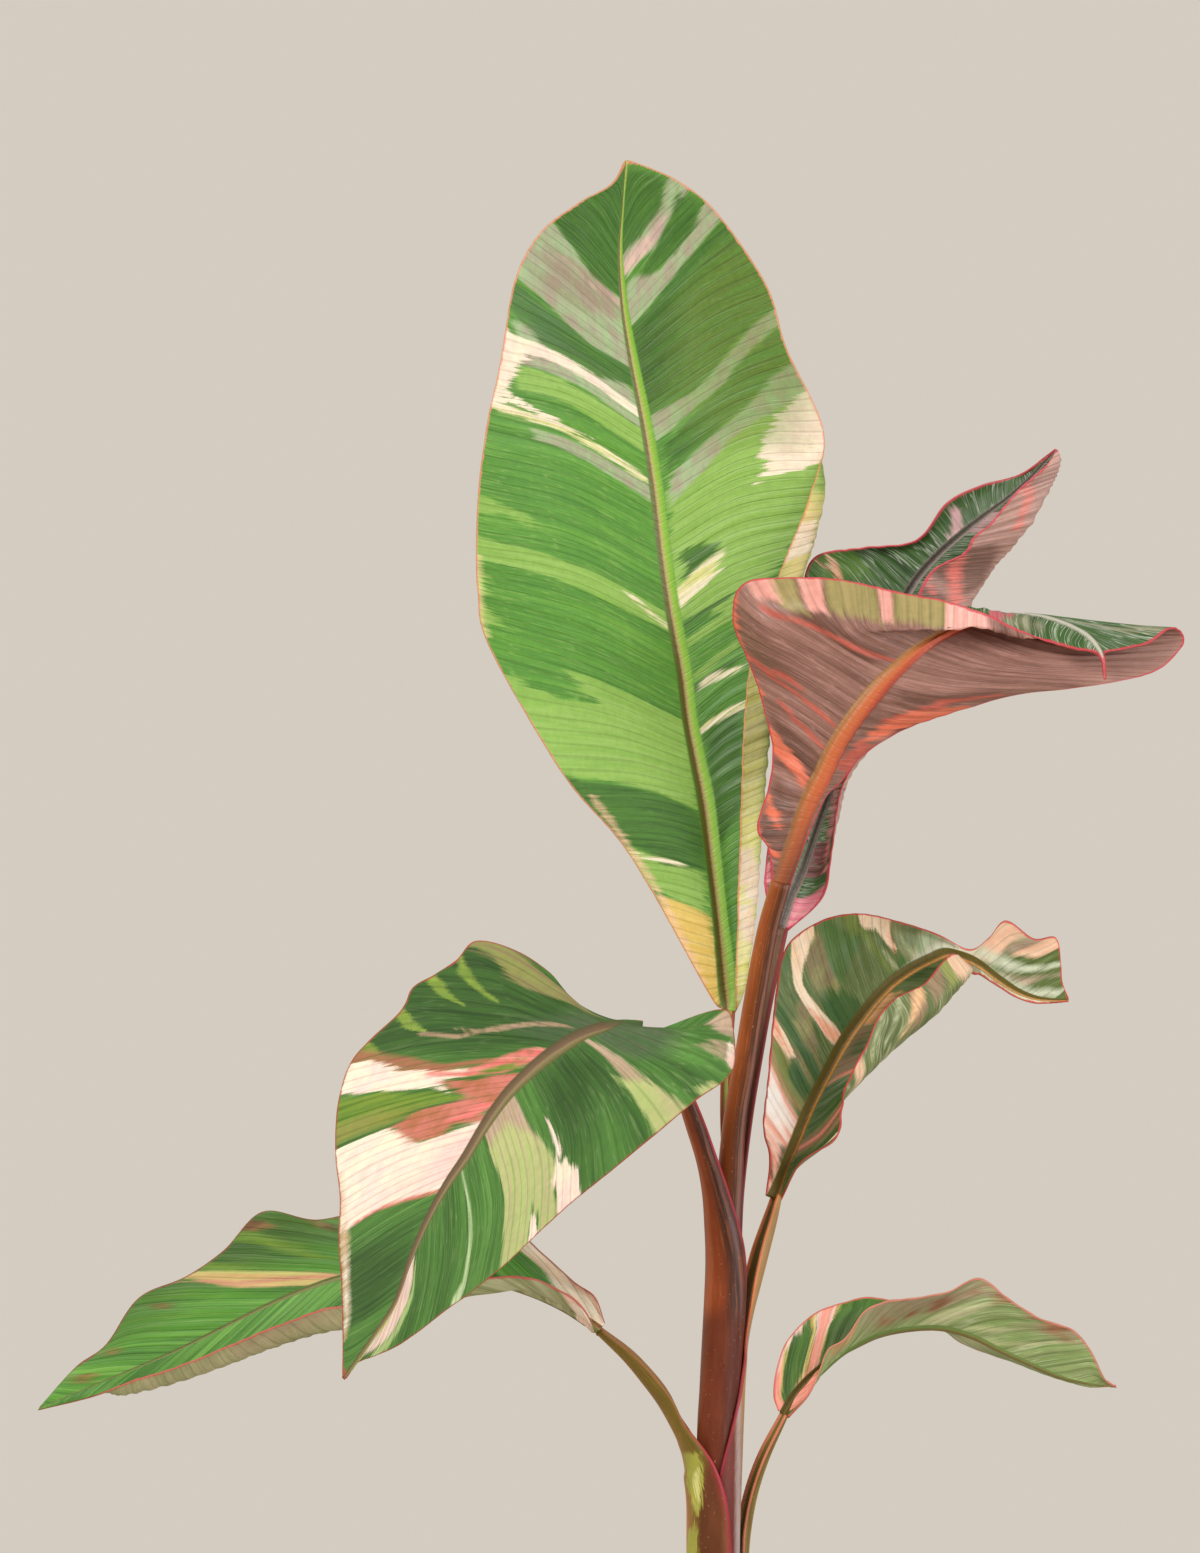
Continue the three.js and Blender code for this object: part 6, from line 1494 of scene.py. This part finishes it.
def potMaterial():
    material, tree = newMaterial("matt glazed ceramic")
    around = objectPlace(tree)
    cloud = noiseAt(tree, stretched(tree, around, (30, 30, 45)), 1.0, 4.0, 0.6)
    rings = noiseAt(tree, stretched(tree, around, (2, 2, 260)), 1.0, 3.0, 0.6)
    grain = noiseAt(tree, around, 900.0, 3.0, 0.6)
    speck = addNode(tree, "ShaderNodeTexVoronoi", {"Vector": around, "Scale": 260.0}).outputs["Distance"]
    glaze, darker = paint(potShape["color"]), paint(potShape["darker"])
    color = mixColor(tree, remap(tree, cloud, 0.35, 0.65), glaze, darker)
    color = mixColor(tree, remap(tree, rings, 0.45, 0.7, 0.0, 0.25), color, darker)
    color = mixColor(tree, remap(tree, speck, 0.06, 0.13, 0.55, 0.0), color, paint(potShape["speck"]))
    height = blended(tree, rings, 0.7, grain, 0.3)
    closeMaterial(tree, color, remap(tree, cloud, 0.3, 0.7, 0.5, 0.64), height, 0.25, 0.0006)
    return material


# Soil: an uneven bed with crumbs on it

soilShape = {
    "top": 138.0,
    "bottom": 7.3,
    "gap": 0.3,
    "stemHole": 13.7,
    "holeHeights": (122.0, 106.0, 89.6),
    "rings": 46,
    "steps": 120,
    "edgeFall": 2.2,
    "roughness": 1.5,
    "crumbs": 90000.0,  # to a square metre
    "crumbsAbove": 0.125,  # this one and the next three in metres
    "smallest": 0.0007,
    "largest": 0.0021,
    "lumps": 0.0016,
    "leastScale": (0.5, 0.6, 0.4),
    "mostScale": (1.4, 1.2, 0.9),
    "seed": 7,
    "color": (62, 44, 33),
    "darker": (34, 24, 18),
    "bark": (112, 78, 52),
}


def innerRadius(z):
    inTop, inFoot = potShape["topRadius"] - potShape["wall"], potShape["footRadius"] - potShape["wall"]
    share = (z - potShape["innerFloor"]) / (potShape["height"] - 1 - potShape["innerFloor"])
    return inFoot + (inTop - inFoot) * share


def soilHeight(x, y):
    radius = math.hypot(x, y)
    edge = innerRadius(soilShape["top"]) - soilShape["gap"]
    fall = soilShape["edgeFall"] * smoothStep(40, edge, radius)
    keep = min(1, (radius - soilShape["stemHole"]) / 6, (edge - radius) / 5)
    lumps = wave(x / 9, y / 9, 2) + 0.5 * wave(x / 4, y / 4, 5) + 0.3 * wave(x / 1.8, y / 1.8, 9)
    keep = max(0, keep)
    return soilShape["top"] + 0.2 - fall + soilShape["roughness"] * lumps * keep - 0.6 * (1 - keep)


def makeSoil():
    steps, rings = soilShape["steps"], soilShape["rings"]
    hole = soilShape["stemHole"]
    edge = innerRadius(soilShape["top"] - 3) - soilShape["gap"]
    foot = soilShape["bottom"]
    profile = [(0, foot), (innerRadius(foot) - soilShape["gap"], foot)]
    profile += [(edge + (hole - edge) * k / rings, None) for k in range(rings + 1)]
    profile += [(hole, z) for z in soilShape["holeHeights"]] + [(0, soilShape["holeHeights"][-1])]
    vertices, rows = [], []
    for radius, z in profile:
        if radius == 0:
            rows.append([len(vertices)] * steps)
            vertices.append((0, 0, z * mm))
            continue
        rows.append(list(range(len(vertices), len(vertices) + steps)))
        for n in range(steps):
            turn = 2 * math.pi * n / steps
            x, y = radius * math.cos(turn), radius * math.sin(turn)
            vertices.append((x * mm, y * mm, (soilHeight(x, y) if z is None else z) * mm))
    faces = []
    for low, high in zip(rows, rows[1:]):
        for n in range(steps):
            m = (n + 1) % steps
            corners = [low[n], low[m], high[m], high[n]]
            faces.append(tuple(dict.fromkeys(corners)))
    obj = meshObject("soil_bed", vertices, faces, [soilMaterial("moist soil", soilShape["color"])])
    turnOutward(obj)
    dress(obj, "soil")
    print("soil", len(obj.data.polygons), "faces")
    return obj


def crumbTree(material):
    tree = bpy.data.node_groups.new("crumbs on a bed", "GeometryNodeTree")
    sockets = addInputs(tree, {"Bed": "Geometry", "Density": "Float", "Smallest": "Float",
                               "Largest": "Float", "Seed": "Int"})
    start = addNode(tree, "NodeGroupInput")
    normal = addNode(tree, "GeometryNodeInputNormal")
    up = separated(tree, normal.outputs[0])[2]
    place = addNode(tree, "GeometryNodeInputPosition").outputs[0]
    height = separated(tree, place)[2]
    onTop = calc(tree, "MULTIPLY", calc(tree, "GREATER_THAN", up, 0.4),
                 calc(tree, "GREATER_THAN", height, soilShape["crumbsAbove"]))
    points = addNode(tree, "GeometryNodeDistributePointsOnFaces",
                     {"Mesh": start.outputs["Bed"], "Selection": onTop, "Density": start.outputs["Density"],
                      "Seed": start.outputs["Seed"]})
    stone = addNode(tree, "GeometryNodeMeshIcoSphere", {"Radius": 1.0, "Subdivisions": 1})
    sizes = {0: soilShape["leastScale"], 1: soilShape["mostScale"], "Seed": 3}
    size = addNode(tree, "FunctionNodeRandomValue", sizes, data_type="FLOAT_VECTOR")
    spread = addNode(tree, "FunctionNodeRandomValue", {2: 0.0, 3: 1.0, "Seed": 11}, data_type="FLOAT")
    skewed = calc(tree, "POWER", spread.outputs[1], 2.5)
    scale = remap(tree, skewed, 0.0, 1.0, start.outputs["Smallest"], start.outputs["Largest"])
    stoneSize = scaled(tree, size.outputs[0], scale)
    turn = addNode(tree, "FunctionNodeRandomValue", {1: (6.28, 6.28, 6.28), "Seed": 5},
                   data_type="FLOAT_VECTOR")
    instances = addNode(tree, "GeometryNodeInstanceOnPoints",
                        {"Points": points.outputs["Points"], "Instance": stone.outputs["Mesh"],
                         "Rotation": turn.outputs[0], "Scale": stoneSize})
    real = addNode(tree, "GeometryNodeRealizeInstances", {0: instances.outputs[0]})
    rough = addNode(tree, "ShaderNodeTexNoise", {"Vector": place, "Scale": 900.0, "Detail": 1.0})
    centred = addNode(tree, "ShaderNodeVectorMath", {0: rough.outputs["Color"], 1: (0.5, 0.5, 0.5)},
                      operation="SUBTRACT")
    moved = scaled(tree, centred.outputs[0], soilShape["lumps"])
    lumpy = addNode(tree, "GeometryNodeSetPosition", {0: real.outputs[0], "Offset": moved})
    finished = addNode(tree, "GeometryNodeSetMaterial", {0: lumpy.outputs[0], "Material": material})
    addNode(tree, "NodeGroupOutput", {0: finished.outputs[0]})
    return tree, sockets


def makeCrumbs(bed):
    obj = newObject("soil_crumbs", bed.data.copy())
    tree, sockets = crumbTree(soilMaterial("soil crumbs", soilShape["bark"]))
    names = {"Density": "crumbs", "Smallest": "smallest", "Largest": "largest", "Seed": "seed"}
    applyTree(obj, tree, {sockets[name]: soilShape[key] for name, key in names.items()})
    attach(obj, "root")
    print("crumbs", len(obj.data.polygons), "faces")


def soilMaterial(name, brighter):
    material, tree = newMaterial(name)
    around = objectPlace(tree)
    lump = noiseAt(tree, around, 160.0, 4.0, 0.65)
    grain = noiseAt(tree, around, 900.0, 4.0, 0.7)
    both = blended(tree, lump, 0.6, grain, 0.4)
    stops = [(0.0, soilShape["darker"]), (0.5, soilShape["color"]), (1.0, brighter)]
    color = ramp(tree, remap(tree, both, 0.36, 0.66), stops)
    closeMaterial(tree, color, remap(tree, lump, 0.3, 0.7, 0.8, 0.95), grain, 0.6, 0.001)
    return material


# Stage, light and camera

view = {
    "lens": 463.6,
    "background": (212, 204, 193),
    "backgroundStrength": 1.0,
    "floorHalf": 4.2,
    "lightSpread": 70.0,
    "key": {"place": (-1.5, -2.2, 2.3), "aim": (0, 0, 0.45), "size": 1.6, "power": 11.8,
            "color": (1.0, 0.97, 0.93)},
    "fill": {"place": (2.2, -1.6, 1.0), "aim": (0, 0, 0.4), "size": 2.0, "power": 8.1,
             "color": (0.95, 0.97, 1.0)},
}


def areaLight(name):
    light = view[name]
    data = bpy.data.lights.new(name, "AREA")
    data.shape = "DISK"
    data.size = light["size"]
    data.energy = light["power"]
    data.spread = math.radians(view["lightSpread"])
    data.color = light["color"]
    obj = newObject(name, data)
    obj.location = light["place"]
    toward = Vector(light["aim"]) - Vector(light["place"])
    obj.rotation_euler = toward.to_track_quat("-Z", "Y").to_euler()


def makeStage():
    tone = view["background"]
    world = bpy.data.worlds.new("studio")
    world.use_nodes = True
    background = world.node_tree.nodes["Background"]
    background.inputs["Color"].default_value = paint(tone)
    background.inputs["Strength"].default_value = view["backgroundStrength"]
    bpy.context.scene.world = world
    half = view["floorHalf"]
    corners = [(-half, -half, 0), (half, -half, 0), (half, half, 0), (-half, half, 0)]
    meshObject("floor", corners, [(0, 1, 2, 3)], [floorMaterial(tone)])
    areaLight("key")
    areaLight("fill")
    print("stage and lights")


def floorMaterial(tone):
    material, tree = newMaterial("pale floor")
    around = objectPlace(tree)
    cloud = noiseAt(tree, around, 3.0, 3.0, 0.5)
    paler = tuple(min(255, c + 5) for c in tone)
    color = mixColor(tree, cloud, paint(tone), paint(paler))
    closeMaterial(tree, color, 0.8)
    return material


def makeCamera():
    data = bpy.data.cameras.new("camera")
    data.lens = view["lens"]
    data.clip_start, data.clip_end = 0.5, 100
    obj = newObject("camera", data)
    obj.location = viewPoint * mm
    obj.rotation_euler = (math.pi / 2, 0, 0)
    bpy.context.scene.camera = obj
    bpy.context.scene.view_settings.view_transform = "Standard"


for leaf in leaves:
    makeBlade(leaf)
for one in stalks:
    makeStalk(one)
makePot()
makeCrumbs(makeSoil())
makeStage()
makeCamera()

bpy.context.view_layer.update()
